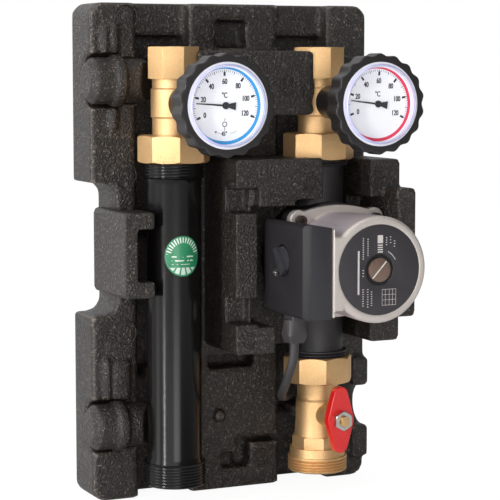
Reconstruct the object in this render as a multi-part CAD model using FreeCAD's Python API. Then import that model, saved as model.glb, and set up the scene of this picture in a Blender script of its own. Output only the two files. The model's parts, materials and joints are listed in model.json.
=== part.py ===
"""A DN 25 pump group for a heating circuit, in the rear half of its foam insulation.

Frame: X to the right, Y backwards to the wall, Z up, in millimetres.
Origin: on the wall face, midway between the two pipe lines, level with the lower connection faces.
The return line is on the left (X < 0) and the flow line, with the pump, on the right.
"""
import FreeCAD, Part
import math
import os

V = FreeCAD.Vector
os.makedirs("parts", exist_ok=True)

# ---------------------------------------------------------------- driving dimensions
# Hydraulic layout
PIPE_CENTRES = 125.0          # distance between the two pipe lines
PIPE_AXIS_Y = -70.5           # both pipe lines stand this far in front of the wall
PUMP_LENGTH = 180.0           # pump, face to face
LOWER_VALVE_LENGTH = 80.5     # lower ball valve, face to face
UPPER_VALVE_LENGTH = 75.5     # upper ball valves, face to face
GASKET_T = 2.0                # flat union gaskets
RUN = 0.05                    # radial clearance of what turns
FIT = 0.1                     # radial clearance of what is screwed together
SEAT = 0.3                    # gap between foam and what it holds

# G 1 1/2 male thread and its union nut
THREAD_R = 23.9
JOINED_THREAD_R = 23.5         # threads inside the group's own unions, cut to the small end of their class
THREAD_PITCH = 2.309
THREAD_DEPTH = 1.45
THREAD_CREST = 0.5
NUT_AF = 52.0
NUT_H = 21.0
NUT_LIP = 4.0
NUT_SIDES = 8
NUT_TURN_DEG = -12.8          # how far the nuts have ended up turned
COLLAR_R = 23.3
COLLAR_H = 3.8
GASKET_BORE_R = 15.5

# Foam rear shell
SHELL_SIDE = 57.5               # foam outside the two pipe lines
SHELL_BOTTOM = -16.0
SHELL_ABOVE = 34.0
SHELL_FACE_Y = -43.0
SHELL_CORNER_R = 11.0
TRENCH_FLOOR_Y = -18.0
TRENCH_SHALLOW_Y = -30.0
TRENCH_STEP = 9.0               # the trenches' shallow ends start this far above the connections
RETURN_TRENCH_SIDES = (19.5, 25.5)
FLOW_TRENCH_SIDES = (21.5, 21.5)
NOTCH_DEPTH = 21.0
NOTCH_Z = (131.0, 235.0)
NOTCH_R = 12.0
LOWER_PORT_Z = 44.0
UPPER_PORT_DROP = 26.0          # upper side ports below the upper connections
PORT_R = 17.5
COIL_POCKET_GAP = 1.2
COIL_POCKET_Y = -12.0
SADDLE_T = 9.0
SADDLE_HALF_W = 11.0
PIPE_SADDLES_Z = (78.0, 190.0)
VALVE_SADDLE_Z = 39.0
# cut-outs in the shell's middle: X from and to, Z from and to, floor Y
FACE_CUTS = (
    (-21.0, 19.0, 83.0, 94.0, -24.0),      # slot under the pump
    (3.0, 15.0, 1.0, 25.0, -28.0),         # foot channel, upright part
    (14.0, 42.0, 20.0, 25.0, -28.0),       # foot channel, part that runs across
    (-21.0, 4.0, 1.0, 14.0, -34.0),        # foot pocket
)
# blocks that stand in those cut-outs: X from and to, Z from and to, Y from and to, corner radius
FACE_BLOCKS = (
    (-23.0, -10.0, 1.0, 16.0, -33.0, -43.0, 2.0),
)
TOP_RECESS_X = (-14.5, 42.0)    # recess near the shell's top, with a block in it
TOP_RECESS_DROP = (34.5, 13.0)
TOP_RECESS_FLOOR_Y = -28.0
TOP_BLOCK_X = (12.0, 39.0)
TOP_BLOCK_DROP = (32.0, 14.0)
TOP_BLOCK_FRONT_Y = -42.0
TOP_BLOCK_CORNER_R = 5.0
PEG = (-13.5, 45.3)             # locating peg's X and Z
PEG_R = 4.5
PEG_L = 6.0
RIB_PROUD = 3.0
RIB_CORNER_R = 1.9
# ribs round the left side ports: X from and to, Z from and to
FACE_RIBS = (
    (-110.0, -106.0, 335.0, 357.0),
    (-103.0, -98.0, 335.0, 358.0),
    (-104.0, -99.0, 276.0, 293.0),
    (-110.0, -106.0, 65.0, 97.0),
    (-103.0, -90.0, 65.0, 95.0),
)
PORT_PAD_W = 13.0               # blocks above and below the lower right port
PORT_PAD_L = 40.0
PORT_PAD_PROUD = 5.0
PORT_PAD_OUT = 1.5

# Foam inserts
CRADLE_FRONT_Y = -105.0
CRADLE_ENDS = (20.5, 8.5)       # the pump's faces stand out this much below and above the cradles
CRADLE_REACH = 87.5             # from the pump's axis to the cradle's left side
CRADLE_RIGHT_INSET = 2.5
CRADLE_CORNER_R = 3.0
CHANNEL_SIDES = (13.0, 29.0)    # the pump's port stands between the two cradles
MOTOR_POCKET_Y = -64.0
POCKET_HALF_H = 45.0            # the pocket's upper edge above the pump's axis
POCKET_STEP = 4.5               # it rises this much beside the pump
POCKET_STEP_REACH = 37.1
POCKET_REACH = 69.5
FOOT_BLOCK_REACH = 54.0
FOOT_BLOCK_H = 21.0
PAD_NOTCHES_Z = ((126.5, 147.0), (212.5, 231.5))
PAD_NOTCH_REACH = (71.5, 68.0)  # each notch in the left edge goes down in two steps
PAD_NOTCH_Y = (-84.0, -93.0)
OUTER_BLOCK_REACH = 40.5
OUTER_BLOCK_Z = (128.5, 230.0)
OUTER_BLOCK_FRONT_Y = -127.0
BRIDGE_FRONT_Y = -88.0
BRIDGE_INSET = 12.5             # the bridge's ends stand this far inside the pipe lines
BRIDGE_ENDS = (10.0, 40.0)      # below and above the stem line
CLIP_Z = (149.0, 215.0)
CLIP_FRONT_Y = -89.0
CLIP_BACK_Y = -20.0
CLIP_OUTER = 11.0               # the clip's grip, outwards from the notch
CLIP_FINGER_REACH = 23.0        # its fingers' ends, out from the pipe line
CLIP_FINGER_H = 13.0
CLIP_FINGER_DEPTH = 30.0

# Side plugs of the shell
PLUG_OUTER_R = 18.0
PLUG_RIDGE_R = 20.3
PLUG_INNER_R = 17.2
PLUG_PROUD = 4.0
PLUG_INNER_REACH = 10.5
PLUG_SHOULDER_INSET = 25.0

# Return pipe
PIPE_R = 21.2
PIPE_BORE_R = 18.0
PIPE_LOWER_THREAD = 18.5
PIPE_UPPER_THREAD = 23.0
PIPE_SHOULDER = 4.0

# Check valve in the top of the return pipe
CAGE_H = 34.0
CAGE_RING_H = 6.0
CAGE_BORE_R = 12.5
CAGE_ARMS = 3
CAGE_ARM_T = 3.0
POPPET_R = 14.6
POPPET_T = 2.4
POPPET_STEM_R = 2.2
POPPET_TRAVEL = 7.0
SPRING_R = 5.0
SPRING_WIRE_R = 0.55
SPRING_TURNS = 6

# Ball valves
BALL_R = 14.4
BALL_FIT = 0.15               # the ball's clearance in its seats
BALL_BORE_R = 9.5
CHAMBER_R = 14.8
SEAT_BORE_R = 9.8
SEAT_RING_H = 7.0
STEM_RISE = 34.5              # stem line of the two upper valves above the pump
LOWER_STEM_Z = 47.0           # stem line of the lower valve
STEM_R = 5.0
STEM_TONGUE_T = 5.0
SLOT_HALF_L = 7.0              # slot in the ball for the stem's tongue
SLOT_DEPTH = 3.0
BODY_R = 17.5
BODY_H = 21.0
NECK_R = 16.4
BOSS_R = 9.2
BOSS_END_Y = -100.5
SOCKET_AF = 38.7
SOCKET_H = 24.5
SOCKET_THREAD_R = 15.15       # Rp 1 female thread
SOCKET_THREAD_L = 19.0

# Thermometer handles
HANDLE_NECK_R = 13.0
HANDLE_NECK_Y = -101.0
HANDLE_RIM_R = 37.4
HANDLE_WAVE = 0.95
HANDLE_LOBES = 18
HANDLE_FRONT_Y = -172.0
HANDLE_RIM_L = 20.0
HANDLE_CONE_L = 14.0
HANDLE_STEM_IN = 32.0           # the stem ends this far behind the handle's front
CASE_R = 31.4
CASE_DEPTH = 12.0
CASE_WALL = 1.2
DIAL_R = 29.4
DIAL_T = 0.8
DIAL_SINK = 4.6
GLASS_PROUD = 2.7
GLASS_T = 1.8
GLASS_BEVEL = 3.2
POINTER_L = 23.0
POINTER_TAIL = 8.0
POINTER_HUB_R = 2.6
POINTER_T = 0.5
RETURN_POINTER_DEG = -86.0    # pointer's angle from the top of the dial, clockwise positive
FLOW_POINTER_DEG = -83.0
PROBE_R = 2.5

# Lower valve's body and butterfly handle
LOWER_THREAD = 12.0
LOWER_COLLAR_R = 22.2
LOWER_COLLAR_H = 7.0
FLAT_BAND_AF = 38.6
FLAT_BAND_H = 9.5
LOWER_BORE_R = 15.0
LOWER_STEM_END_Y = -120.0
WING_HUB_R = 11.5
WING_TIP_R = 6.0
WING_REACH = 20.5
WING_Y = (-112.0, -104.5)
WING_NUT_AF = 14.0
WING_NUT_H = 5.0
LOWER_STEM_THREAD_R = 4.0
STEM_FLAT = 3.0                # half the width across the stem's flats

# Pump
VOLUTE_R = 46.0
VOLUTE_BACK_Y = -46.0
FLANGE_Y = -97.0
IMPELLER_R = 32.0
IMPELLER_Y = (-90.0, -78.0)
VANES = 6
VANE_T = 1.4
VANE_LEAN_DEG = 28.0
CHAMBER_WALL_R = 35.0
EYE_R = 11.0
PORT_BORE_R = 12.5
PASSAGE_HALF_W = 9.0           # flat passages between the ports and the impeller chamber
PORT_NECK_R = 20.0
PUMP_THREAD = 16.0
FLANGE_T = 7.0
SCREW_PATTERN = 33.2
SCREW_PAD_R = 8.2
SCREW_HEAD_R = 4.25
SCREW_HEAD_H = 5.0
SCREW_R = 2.5
MOTOR_R = 40.7
MOTOR_BACK_R = 38.6
MOTOR_FRONT_Y = -172.0
MOTOR_FACE_T = 5.0
MOTOR_BAND = 14.0              # cylindrical front stretch of the housing
STATOR_R = 36.0
STATOR_Y = (-150.0, -108.0)
CAN_R = 20.0
CAN_T = 0.6
CAN_END_Y = -157.0
ROTOR_R = 19.0
ROTOR_Y = (-148.0, -110.0)
SHAFT_R = 4.0
BEARING_T = 4.5
PLATE_R = 34.4
PLATE_T = 1.0
VENT_R = 9.9
VENT_RECESS_R = 12.0
VENT_SLOT_DEG = 47.0            # the slot rises to the right
WING_HALF_H = 26.0
WING_T = 8.0
PAD_HALF_H = 33.0

# Terminal box
BOX_REACH = 61.5                # from the pump's axis to the lid
BOX_LID_T = 4.6
BOX_HALF_H = 35.5
BOX_Y = (-170.0, -98.0)
BOX_BEVEL = 4.4
BOX_WALL = 2.2
KNOB_Y = -132.0
KNOB_DZ = 6.0
KNOB_R = 11.0
KNOB_GAP = 1.2                 # radial gap round the knob in its recess
KNOB_SPINDLE_R = 3.0
KNOB_TURN_DEG = -42.0
GRIP_HALF_L = 11.5
GRIP_TIP_HALF_W = 1.3
GRIP_TAIL_HALF_W = 3.2
GRIP_PROUD = 4.5
KNOB_RECESS_T = 3.0
LID_SCREW_Y = -118.7
LID_SCREW_DZ = -4.5
LID_SCREW_R = 4.0
LID_SCREW_T = 1.9
LID_SCREW_SHANK_R = 1.5
GLAND_REACH = 51.0
GLAND_Y = -131.0
GLAND_W = 16.0
GLAND_L = 22.0
GLAND_FOOT = 5.0                # square foot under the box
GLAND_SHIFT = 2.5               # the foot stands this far off the gland's line

# Pump cable
CABLE_R = 3.5
COIL_MEAN_R = 35.0
COIL_HALF_W = 7.3
COIL_Y = (-39.3, -17.3)

# ---------------------------------------------------------------- places worked out from them
RETURN_X = -PIPE_CENTRES / 2
FLOW_X = PIPE_CENTRES / 2
SHELL_HALF_W = FLOW_X + SHELL_SIDE
RETURN_TRENCH = (RETURN_X - RETURN_TRENCH_SIDES[0], RETURN_X + RETURN_TRENCH_SIDES[1])
FLOW_TRENCH = (FLOW_X - FLOW_TRENCH_SIDES[0], FLOW_X + FLOW_TRENCH_SIDES[1])
NOTCH_X = NOTCH_DEPTH - SHELL_HALF_W
CLIP_OUTER_X = NOTCH_X - CLIP_OUTER
CLIP_FINGER_X = RETURN_X - CLIP_FINGER_REACH
PLUG_OUTER_X = -SHELL_HALF_W - PLUG_PROUD
PLUG_INNER_X = RETURN_X - PLUG_INNER_REACH
PLUG_SHOULDER_X = PLUG_SHOULDER_INSET - SHELL_HALF_W
CRADLE_LEFT_X = FLOW_X - CRADLE_REACH
CRADLE_RIGHT_X = SHELL_HALF_W - CRADLE_RIGHT_INSET
CHANNEL = (FLOW_X - CHANNEL_SIDES[0], FLOW_X + CHANNEL_SIDES[1])
POCKET_STEP_X = FLOW_X - POCKET_STEP_REACH
POCKET_LEFT_X = FLOW_X - POCKET_REACH
FOOT_BLOCK_X = FLOW_X - FOOT_BLOCK_REACH
PAD_NOTCH_X = (FLOW_X - PAD_NOTCH_REACH[0], FLOW_X - PAD_NOTCH_REACH[1])
OUTER_BLOCK_X = FLOW_X + OUTER_BLOCK_REACH
BRIDGE_HALF_W = FLOW_X - BRIDGE_INSET
BOX_LEFT_X = FLOW_X - BOX_REACH
BOX_SEAM_X = BOX_LEFT_X + BOX_LID_T
GLAND_X = FLOW_X - GLAND_REACH
PUMP_BOTTOM = LOWER_VALVE_LENGTH + GASKET_T
PUMP_TOP = PUMP_BOTTOM + PUMP_LENGTH
PUMP_Z = (PUMP_BOTTOM + PUMP_TOP) / 2
UPPER_VALVE_Z = PUMP_TOP + GASKET_T
INSTALL_LENGTH = UPPER_VALVE_Z + UPPER_VALVE_LENGTH    # lower to upper connection faces
STEM_Z = PUMP_TOP + STEM_RISE
SHELL_TOP = INSTALL_LENGTH + SHELL_ABOVE
TRENCH_STEP_Z = INSTALL_LENGTH + TRENCH_STEP
TOP_RECESS = TOP_RECESS_X + (SHELL_TOP - TOP_RECESS_DROP[0], SHELL_TOP - TOP_RECESS_DROP[1],
                             TOP_RECESS_FLOOR_Y)
TOP_BLOCK = TOP_BLOCK_X + (SHELL_TOP - TOP_BLOCK_DROP[0], SHELL_TOP - TOP_BLOCK_DROP[1],
                           TOP_RECESS_FLOOR_Y, TOP_BLOCK_FRONT_Y, TOP_BLOCK_CORNER_R)
PORT_Z = (LOWER_PORT_Z, INSTALL_LENGTH - UPPER_PORT_DROP)
CRADLE_BOTTOM = PUMP_BOTTOM + CRADLE_ENDS[0]
CRADLE_TOP = PUMP_TOP - CRADLE_ENDS[1]
BRIDGE_Z = (STEM_Z - BRIDGE_ENDS[0], STEM_Z + BRIDGE_ENDS[1])
COIL_POCKET_R = COIL_MEAN_R + COIL_HALF_W + COIL_POCKET_GAP
FLANGE_FRONT_Y = FLANGE_Y - FLANGE_T
FLANGE_HALF = SCREW_PATTERN + SCREW_PAD_R
WING_X = FLOW_X - FLANGE_HALF - 0.2    # flat left side of the motor housing, where the terminal box sits
HANDLE_POCKET_Y = HANDLE_FRONT_Y + CASE_DEPTH
HANDLE_RIM_BACK_Y = HANDLE_FRONT_Y + HANDLE_RIM_L
HANDLE_STEM_END_Y = HANDLE_FRONT_Y + HANDLE_STEM_IN
DIAL_FRONT_Y = HANDLE_FRONT_Y + DIAL_SINK
DIAL_BACK_Y = DIAL_FRONT_Y + DIAL_T
NUT_R = NUT_AF / 2 / math.cos(math.pi / NUT_SIDES)
BOX_Z = (PUMP_Z - BOX_HALF_H, PUMP_Z + BOX_HALF_H)
GLAND_BOTTOM = BOX_Z[0] - GLAND_L

# The free stretch of the pump cable, from the gland to its coil behind the pump: each point's X
# and Z from the pump's axis, and its Y.
CABLE_ROUTE = [(FLOW_X + x, y, PUMP_Z + z) for x, y, z in (
    (-51.0, -131.0, -57.5),
    (-51.0, -131.0, -68.5),
    (-53.0, -127.5, -80.0),
    (-52.0, -117.5, -92.5),
    (-47.0, -101.5, -102.0),
    (-38.5, -83.0, -108.5),
    (-26.5, -65.0, -112.5),
    (-14.2, -48.6, -114.5),
    (-6.7, -35.6, -105.9),
    (-2.5, -28.3, -91.0),
    (-3.5, -27.5, -74.5),
    (-7.5, -28.0, -59.0),
    (-12.0, -28.3, -46.5),
    (-16.7, -28.3, -38.8),
)]


# ---------------------------------------------------------------- helpers
def box(x, y, z):
    """A box between two values on each axis, given in any order."""
    x, y, z = sorted(x), sorted(y), sorted(z)
    return Part.makeBox(x[1] - x[0], y[1] - y[0], z[1] - z[0], V(x[0], y[0], z[0]))


def cyl(axis, centre, r, span):
    """A cylinder along an axis, between two values of that axis; centre's value on it is ignored."""
    low, high = sorted(span)
    place = {"x": V(low, centre[1], centre[2]), "y": V(centre[0], low, centre[2]),
             "z": V(centre[0], centre[1], low)}[axis]
    way = {"x": V(1, 0, 0), "y": V(0, 1, 0), "z": V(0, 0, 1)}[axis]
    return Part.makeCylinder(r, high - low, place, way)


def ring(axis, centre, r_in, r_out, span):
    return cyl(axis, centre, r_out, span).cut(cyl(axis, centre, r_in, span))


def turned(axis, centre, profile):
    """A solid of revolution: profile is (radius, place on the axis) pairs, closed on itself."""
    way = {"x": V(1, 0, 0), "y": V(0, 1, 0), "z": V(0, 0, 1)}[axis]

    def point(r, s):
        return {"x": V(s, centre[1], centre[2] + r), "y": V(centre[0] + r, s, centre[2]),
                "z": V(centre[0] + r, centre[1], s)}[axis]
    wire = Part.makePolygon([point(r, s) for r, s in profile] + [point(*profile[0])])
    foot = {"x": V(0, centre[1], centre[2]), "y": V(centre[0], 0, centre[2]),
            "z": V(centre[0], centre[1], 0)}[axis]
    return Part.Face(wire).revolve(foot, way, 360)


def prism(axis, centre, sides, across_flats, span, first_deg, chamfer=0.0):
    """A regular prism with its corners turned down by a chamfer at both ends."""
    low, high = sorted(span)
    r = across_flats / 2 / math.cos(math.pi / sides)
    points = []
    for i in range(sides + 1):
        a = math.radians(first_deg + 360.0 * i / sides)
        u, w = r * math.sin(a), -r * math.cos(a)
        points.append(V(centre[0] + u, centre[1] + w, low) if axis == "z"
                      else V(centre[0] + u, low, centre[2] + w))
    way = V(0, 0, high - low) if axis == "z" else V(0, high - low, 0)
    solid = Part.Face(Part.makePolygon(points)).extrude(way)
    if chamfer:
        drop = chamfer * math.tan(math.radians(30))
        solid = solid.common(turned(axis, centre, [
            (0, low), (r - chamfer, low), (r, low + drop),
            (r, high - drop), (r - chamfer, high), (0, high)]))
    return solid


def thread(axis_xy, z0, z1, r=THREAD_R):
    """A male thread as rings of V grooves, with flat crests at its full radius."""
    low, high = sorted((z0, z1))
    lead = THREAD_DEPTH * 0.8
    outline = [(0, low), (r - lead, low), (r, low + lead)]
    z = low + lead + THREAD_CREST
    slope = (THREAD_PITCH - THREAD_CREST) / 2
    while z + THREAD_PITCH < high:
        outline += [(r, z), (r - THREAD_DEPTH, z + slope), (r, z + 2 * slope)]
        z += THREAD_PITCH
    outline += [(r, high), (0, high)]
    return turned("z", axis_xy, outline)


def rounded(shape, radius, way):
    """Rounds the straight edges that run along one axis."""
    picked = []
    for edge in shape.Edges:
        if edge.Curve.TypeId != "Part::GeomLine":
            continue
        t = edge.tangentAt(edge.FirstParameter)
        if abs(abs(t.dot(way)) - 1) < 1e-6:
            picked.append(edge)
    return shape.makeFillet(radius, picked) if picked else shape


def export(shape, name):
    shape = shape.removeSplitter()
    assert shape.isValid(), name
    print("%-26s %d solids  %.1f cm3" % (name, len(shape.Solids), shape.Volume / 1000))
    shape.exportStep("parts/%s.step" % name)


# ---------------------------------------------------------------- foam
def rear_shell():
    outline = box((-SHELL_HALF_W, SHELL_HALF_W), (SHELL_FACE_Y, 0), (SHELL_BOTTOM, SHELL_TOP))
    shell = rounded(outline, SHELL_CORNER_R, V(0, 1, 0))
    front = SHELL_FACE_Y - 1
    for left, right in (RETURN_TRENCH, FLOW_TRENCH):
        shell = shell.cut(box((left, right), (front, TRENCH_SHALLOW_Y), (SHELL_BOTTOM - 1, SHELL_TOP + 1)))
        shell = shell.cut(box((left, right), (front, TRENCH_FLOOR_Y), (SHELL_BOTTOM - 1, TRENCH_STEP_Z)))
    # hand grips in the left side, where the pipe clip stands
    notch = box((-SHELL_HALF_W - 2 * NOTCH_R, NOTCH_X), (front, 1), NOTCH_Z)
    shell = shell.cut(rounded(notch, NOTCH_R, V(0, 1, 0)))
    # half-round side ports
    for z in PORT_Z:
        port = (0, SHELL_FACE_Y, z)
        shell = shell.cut(cyl("x", port, PORT_R, (FLOW_TRENCH[1] - 1, SHELL_HALF_W + 1)))
        shell = shell.cut(cyl("x", port, PLUG_INNER_R + SEAT, (-SHELL_HALF_W - 1, RETURN_TRENCH[0] + 1)))
        shell = shell.cut(cyl("x", port, PLUG_RIDGE_R + SEAT, (-SHELL_HALF_W - 1, PLUG_SHOULDER_X + SEAT)))
    for x0, x1, z0, z1, floor in FACE_CUTS + (TOP_RECESS,):
        shell = shell.cut(box((x0, x1), (front, floor), (z0, z1)))
    for x0, x1, z0, z1, y0, y1, corner in FACE_BLOCKS + (TOP_BLOCK,):
        shell = shell.fuse(rounded(box((x0, x1), (y0, y1), (z0, z1)), corner, V(0, 1, 0)))
    shell = shell.fuse(cyl("y", (PEG[0], 0, PEG[1]), PEG_R, (SHELL_FACE_Y - PEG_L, SHELL_FACE_Y + 1)))
    for x0, x1, z0, z1 in FACE_RIBS:
        rib = box((x0, x1), (SHELL_FACE_Y - RIB_PROUD, SHELL_FACE_Y + 1), (z0, z1))
        shell = shell.fuse(rounded(rib, RIB_CORNER_R, V(0, 1, 0)))
    for z0, z1 in ((PORT_Z[0] - PORT_R - PORT_PAD_L * 0.65, PORT_Z[0] - PORT_R + 1),
                   (PORT_Z[0] + PORT_R - 1, PORT_Z[0] + PORT_R - 1 + PORT_PAD_L * 0.6)):
        pad = box((SHELL_HALF_W - PORT_PAD_W, SHELL_HALF_W + PORT_PAD_OUT),
                  (SHELL_FACE_Y - PORT_PAD_PROUD, SHELL_FACE_Y / 2), (z0, z1))
        shell = shell.fuse(rounded(pad, 3.0, V(0, 1, 0)))
    # pocket behind the pump, which holds the spare cable
    shell = shell.cut(cyl("y", (FLOW_X, 0, PUMP_Z), COIL_POCKET_R, (front, COIL_POCKET_Y)))
    # saddles in the trenches, which the pipe and the lower valve lie on
    saddles = [(RETURN_X, PIPE_R, z) for z in PIPE_SADDLES_Z] + [(FLOW_X, BODY_R, VALVE_SADDLE_Z)]
    for x, r, z in saddles:
        saddle = box((x - SADDLE_HALF_W, x + SADDLE_HALF_W),
                     (TRENCH_FLOOR_Y + 1, PIPE_AXIS_Y + r * 0.8), (z, z + SADDLE_T))
        saddle = saddle.cut(cyl("z", (x, PIPE_AXIS_Y, 0), r + SEAT, (z - 1, z + SADDLE_T + 1)))
        shell = shell.fuse(saddle)
    export(shell, "rear_shell")


def side_plugs():
    for name, z in (("lower_side_plug", PORT_Z[0]), ("upper_side_plug", PORT_Z[1])):
        plug = turned("x", (0, SHELL_FACE_Y, z), [
            (0, PLUG_OUTER_X), (PLUG_OUTER_R - 5, PLUG_OUTER_X), (PLUG_OUTER_R, PLUG_OUTER_X + 5),
            (PLUG_OUTER_R, PLUG_SHOULDER_X - 10), (PLUG_RIDGE_R, PLUG_SHOULDER_X - 8),
            (PLUG_RIDGE_R, PLUG_SHOULDER_X - 2), (PLUG_INNER_R, PLUG_SHOULDER_X),
            (PLUG_INNER_R, PLUG_INNER_X - 4), (PLUG_INNER_R - 4, PLUG_INNER_X), (0, PLUG_INNER_X)])
        # the plug's front half is proud of the shell; it is hollowed where it passes the return line
        plug = plug.cut(cyl("z", (RETURN_X, PIPE_AXIS_Y, 0), THREAD_R + SEAT, (z - 30, z + 30)))
        export(plug, name)


def pump_cradles():
    back = SHELL_FACE_Y
    front = CRADLE_FRONT_Y - 1
    round_pump = cyl("y", (FLOW_X, 0, PUMP_Z), VOLUTE_R + SEAT, (front, back + 1))
    pocket_top = PUMP_Z + POCKET_HALF_H
    foot_top = CRADLE_BOTTOM + FOOT_BLOCK_H
    left = box((CRADLE_LEFT_X, CHANNEL[0]), (CRADLE_FRONT_Y, back), (CRADLE_BOTTOM, CRADLE_TOP))
    left = rounded(left, CRADLE_CORNER_R, V(0, 1, 0))
    for x, z0, z1 in ((POCKET_LEFT_X, foot_top, pocket_top),
                      (POCKET_STEP_X, pocket_top - 1, pocket_top + POCKET_STEP),
                      (FOOT_BLOCK_X, CRADLE_BOTTOM - 1, foot_top + 1)):
        left = left.cut(box((x, CHANNEL[0] + 1), (front, MOTOR_POCKET_Y), (z0, z1)))
    for z0, z1 in PAD_NOTCHES_Z:
        left = left.cut(box((CRADLE_LEFT_X - 1, PAD_NOTCH_X[0]), (front, PAD_NOTCH_Y[0]), (z0, z1)))
        left = left.cut(box((PAD_NOTCH_X[0] - 1, PAD_NOTCH_X[1]), (front, PAD_NOTCH_Y[1]), (z0, z1)))
    port_line = (FLOW_X, PIPE_AXIS_Y, 0)
    left = left.cut(cyl("z", port_line, THREAD_R + 1, (CRADLE_BOTTOM - 1, CRADLE_TOP + 1)))
    nut_mouth = PUMP_TOP + GASKET_T + COLLAR_H + NUT_LIP - NUT_H
    left = left.cut(cyl("z", port_line, NUT_R + 1, (nut_mouth - 1, CRADLE_TOP + 1)))
    left = left.cut(round_pump)
    export(left, "pump_cradle_left")

    right = box((CHANNEL[1], CRADLE_RIGHT_X), (CRADLE_FRONT_Y, back), (CRADLE_BOTTOM + 3.5, CRADLE_TOP - 2))
    right = rounded(right, CRADLE_CORNER_R, V(0, 1, 0))
    outer = box((OUTER_BLOCK_X, SHELL_HALF_W), (OUTER_BLOCK_FRONT_Y, back), OUTER_BLOCK_Z)
    right = right.fuse(rounded(outer, CRADLE_CORNER_R, V(0, 1, 0)))
    right = right.cut(box((CHANNEL[1] - 1, OUTER_BLOCK_X + 1), (OUTER_BLOCK_FRONT_Y - 1, MOTOR_POCKET_Y),
                          (OUTER_BLOCK_Z[0] - POCKET_STEP, pocket_top + POCKET_STEP)))
    right = right.cut(round_pump)
    export(right, "pump_cradle_right")


def valve_bridge():
    bridge = box((-BRIDGE_HALF_W, BRIDGE_HALF_W), (BRIDGE_FRONT_Y, SHELL_FACE_Y), BRIDGE_Z)
    bridge = rounded(bridge, 5.0, V(0, 1, 0))
    for x in (RETURN_X, FLOW_X):
        line = (x, PIPE_AXIS_Y, 0)
        bridge = bridge.cut(cyl("z", line, BODY_R + SEAT, (BRIDGE_Z[0] - 1, BRIDGE_Z[1] + 1)))
        socket_r = SOCKET_AF / 2 / math.cos(math.pi / NUT_SIDES) + SEAT
        bridge = bridge.cut(cyl("z", line, socket_r, (INSTALL_LENGTH - SOCKET_H - 2, BRIDGE_Z[1] + 1)))
        bridge = bridge.cut(cyl("y", (x, 0, STEM_Z), HANDLE_NECK_R + 1, (BRIDGE_FRONT_Y - 1, PIPE_AXIS_Y)))
    export(bridge, "valve_bridge")


def pipe_clip():
    clip = box((CLIP_OUTER_X, NOTCH_X - SEAT), (CLIP_FRONT_Y, CLIP_BACK_Y), CLIP_Z)
    clip = rounded(clip, 3.0, V(0, 1, 0))
    for z in (CLIP_Z[0], CLIP_Z[1] - CLIP_FINGER_H):
        finger = box((NOTCH_X - 2, CLIP_FINGER_X), (CLIP_FRONT_Y, CLIP_FRONT_Y + CLIP_FINGER_DEPTH),
                     (z, z + CLIP_FINGER_H))
        clip = clip.fuse(rounded(finger, 2.5, V(0, 1, 0)))
    clip = clip.cut(cyl("z", (RETURN_X, PIPE_AXIS_Y, 0), PIPE_R + SEAT, (CLIP_Z[0] - 1, CLIP_Z[1] + 1)))
    export(clip, "pipe_clip")


# ---------------------------------------------------------------- unions and pipe
def union_nut(name, x, face_z, up, first_deg):
    """A union nut over a male thread that ends at face_z; up is 1 where its lip is above."""
    line = (x, PIPE_AXIS_Y, 0)
    lip_inner = face_z + up * (GASKET_T + COLLAR_H + 0.2)
    lip_outer = lip_inner + up * NUT_LIP
    mouth = lip_outer - up * NUT_H
    nut = prism("z", line, NUT_SIDES, NUT_AF, (mouth, lip_outer), first_deg, 2.2)
    nut = nut.cut(cyl("z", line, JOINED_THREAD_R + FIT, (mouth - up, lip_inner)))
    nut = nut.cut(cyl("z", line, BODY_R + FIT, (mouth, lip_outer + up)))
    export(nut, name)


def gaskets():
    faces = ((RETURN_X, PUMP_TOP), (FLOW_X, PUMP_TOP), (FLOW_X, PUMP_BOTTOM - GASKET_T))
    rings = [ring("z", (x, PIPE_AXIS_Y, 0), GASKET_BORE_R, COLLAR_R, (z, z + GASKET_T)) for x, z in faces]
    export(Part.makeCompound(rings), "union_gaskets")


def return_pipe():
    line = (RETURN_X, PIPE_AXIS_Y, 0)
    pipe = cyl("z", line, PIPE_R, (1, PUMP_TOP - 1))
    pipe = pipe.fuse(thread(line, 0, PIPE_LOWER_THREAD))
    upper_end = PUMP_TOP - PIPE_UPPER_THREAD
    pipe = pipe.fuse(thread(line, upper_end, PUMP_TOP, JOINED_THREAD_R))
    for r, z0, z1 in ((THREAD_R, PIPE_LOWER_THREAD, PIPE_LOWER_THREAD + PIPE_SHOULDER),
                      (JOINED_THREAD_R, upper_end, upper_end - PIPE_SHOULDER)):
        pipe = pipe.fuse(turned("z", line, [(0, z0), (r - THREAD_DEPTH, z0), (PIPE_R, z1), (0, z1)]))
    pipe = pipe.cut(cyl("z", line, PIPE_BORE_R, (-1, PUMP_TOP + 1)))
    export(pipe, "return_pipe")


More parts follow.
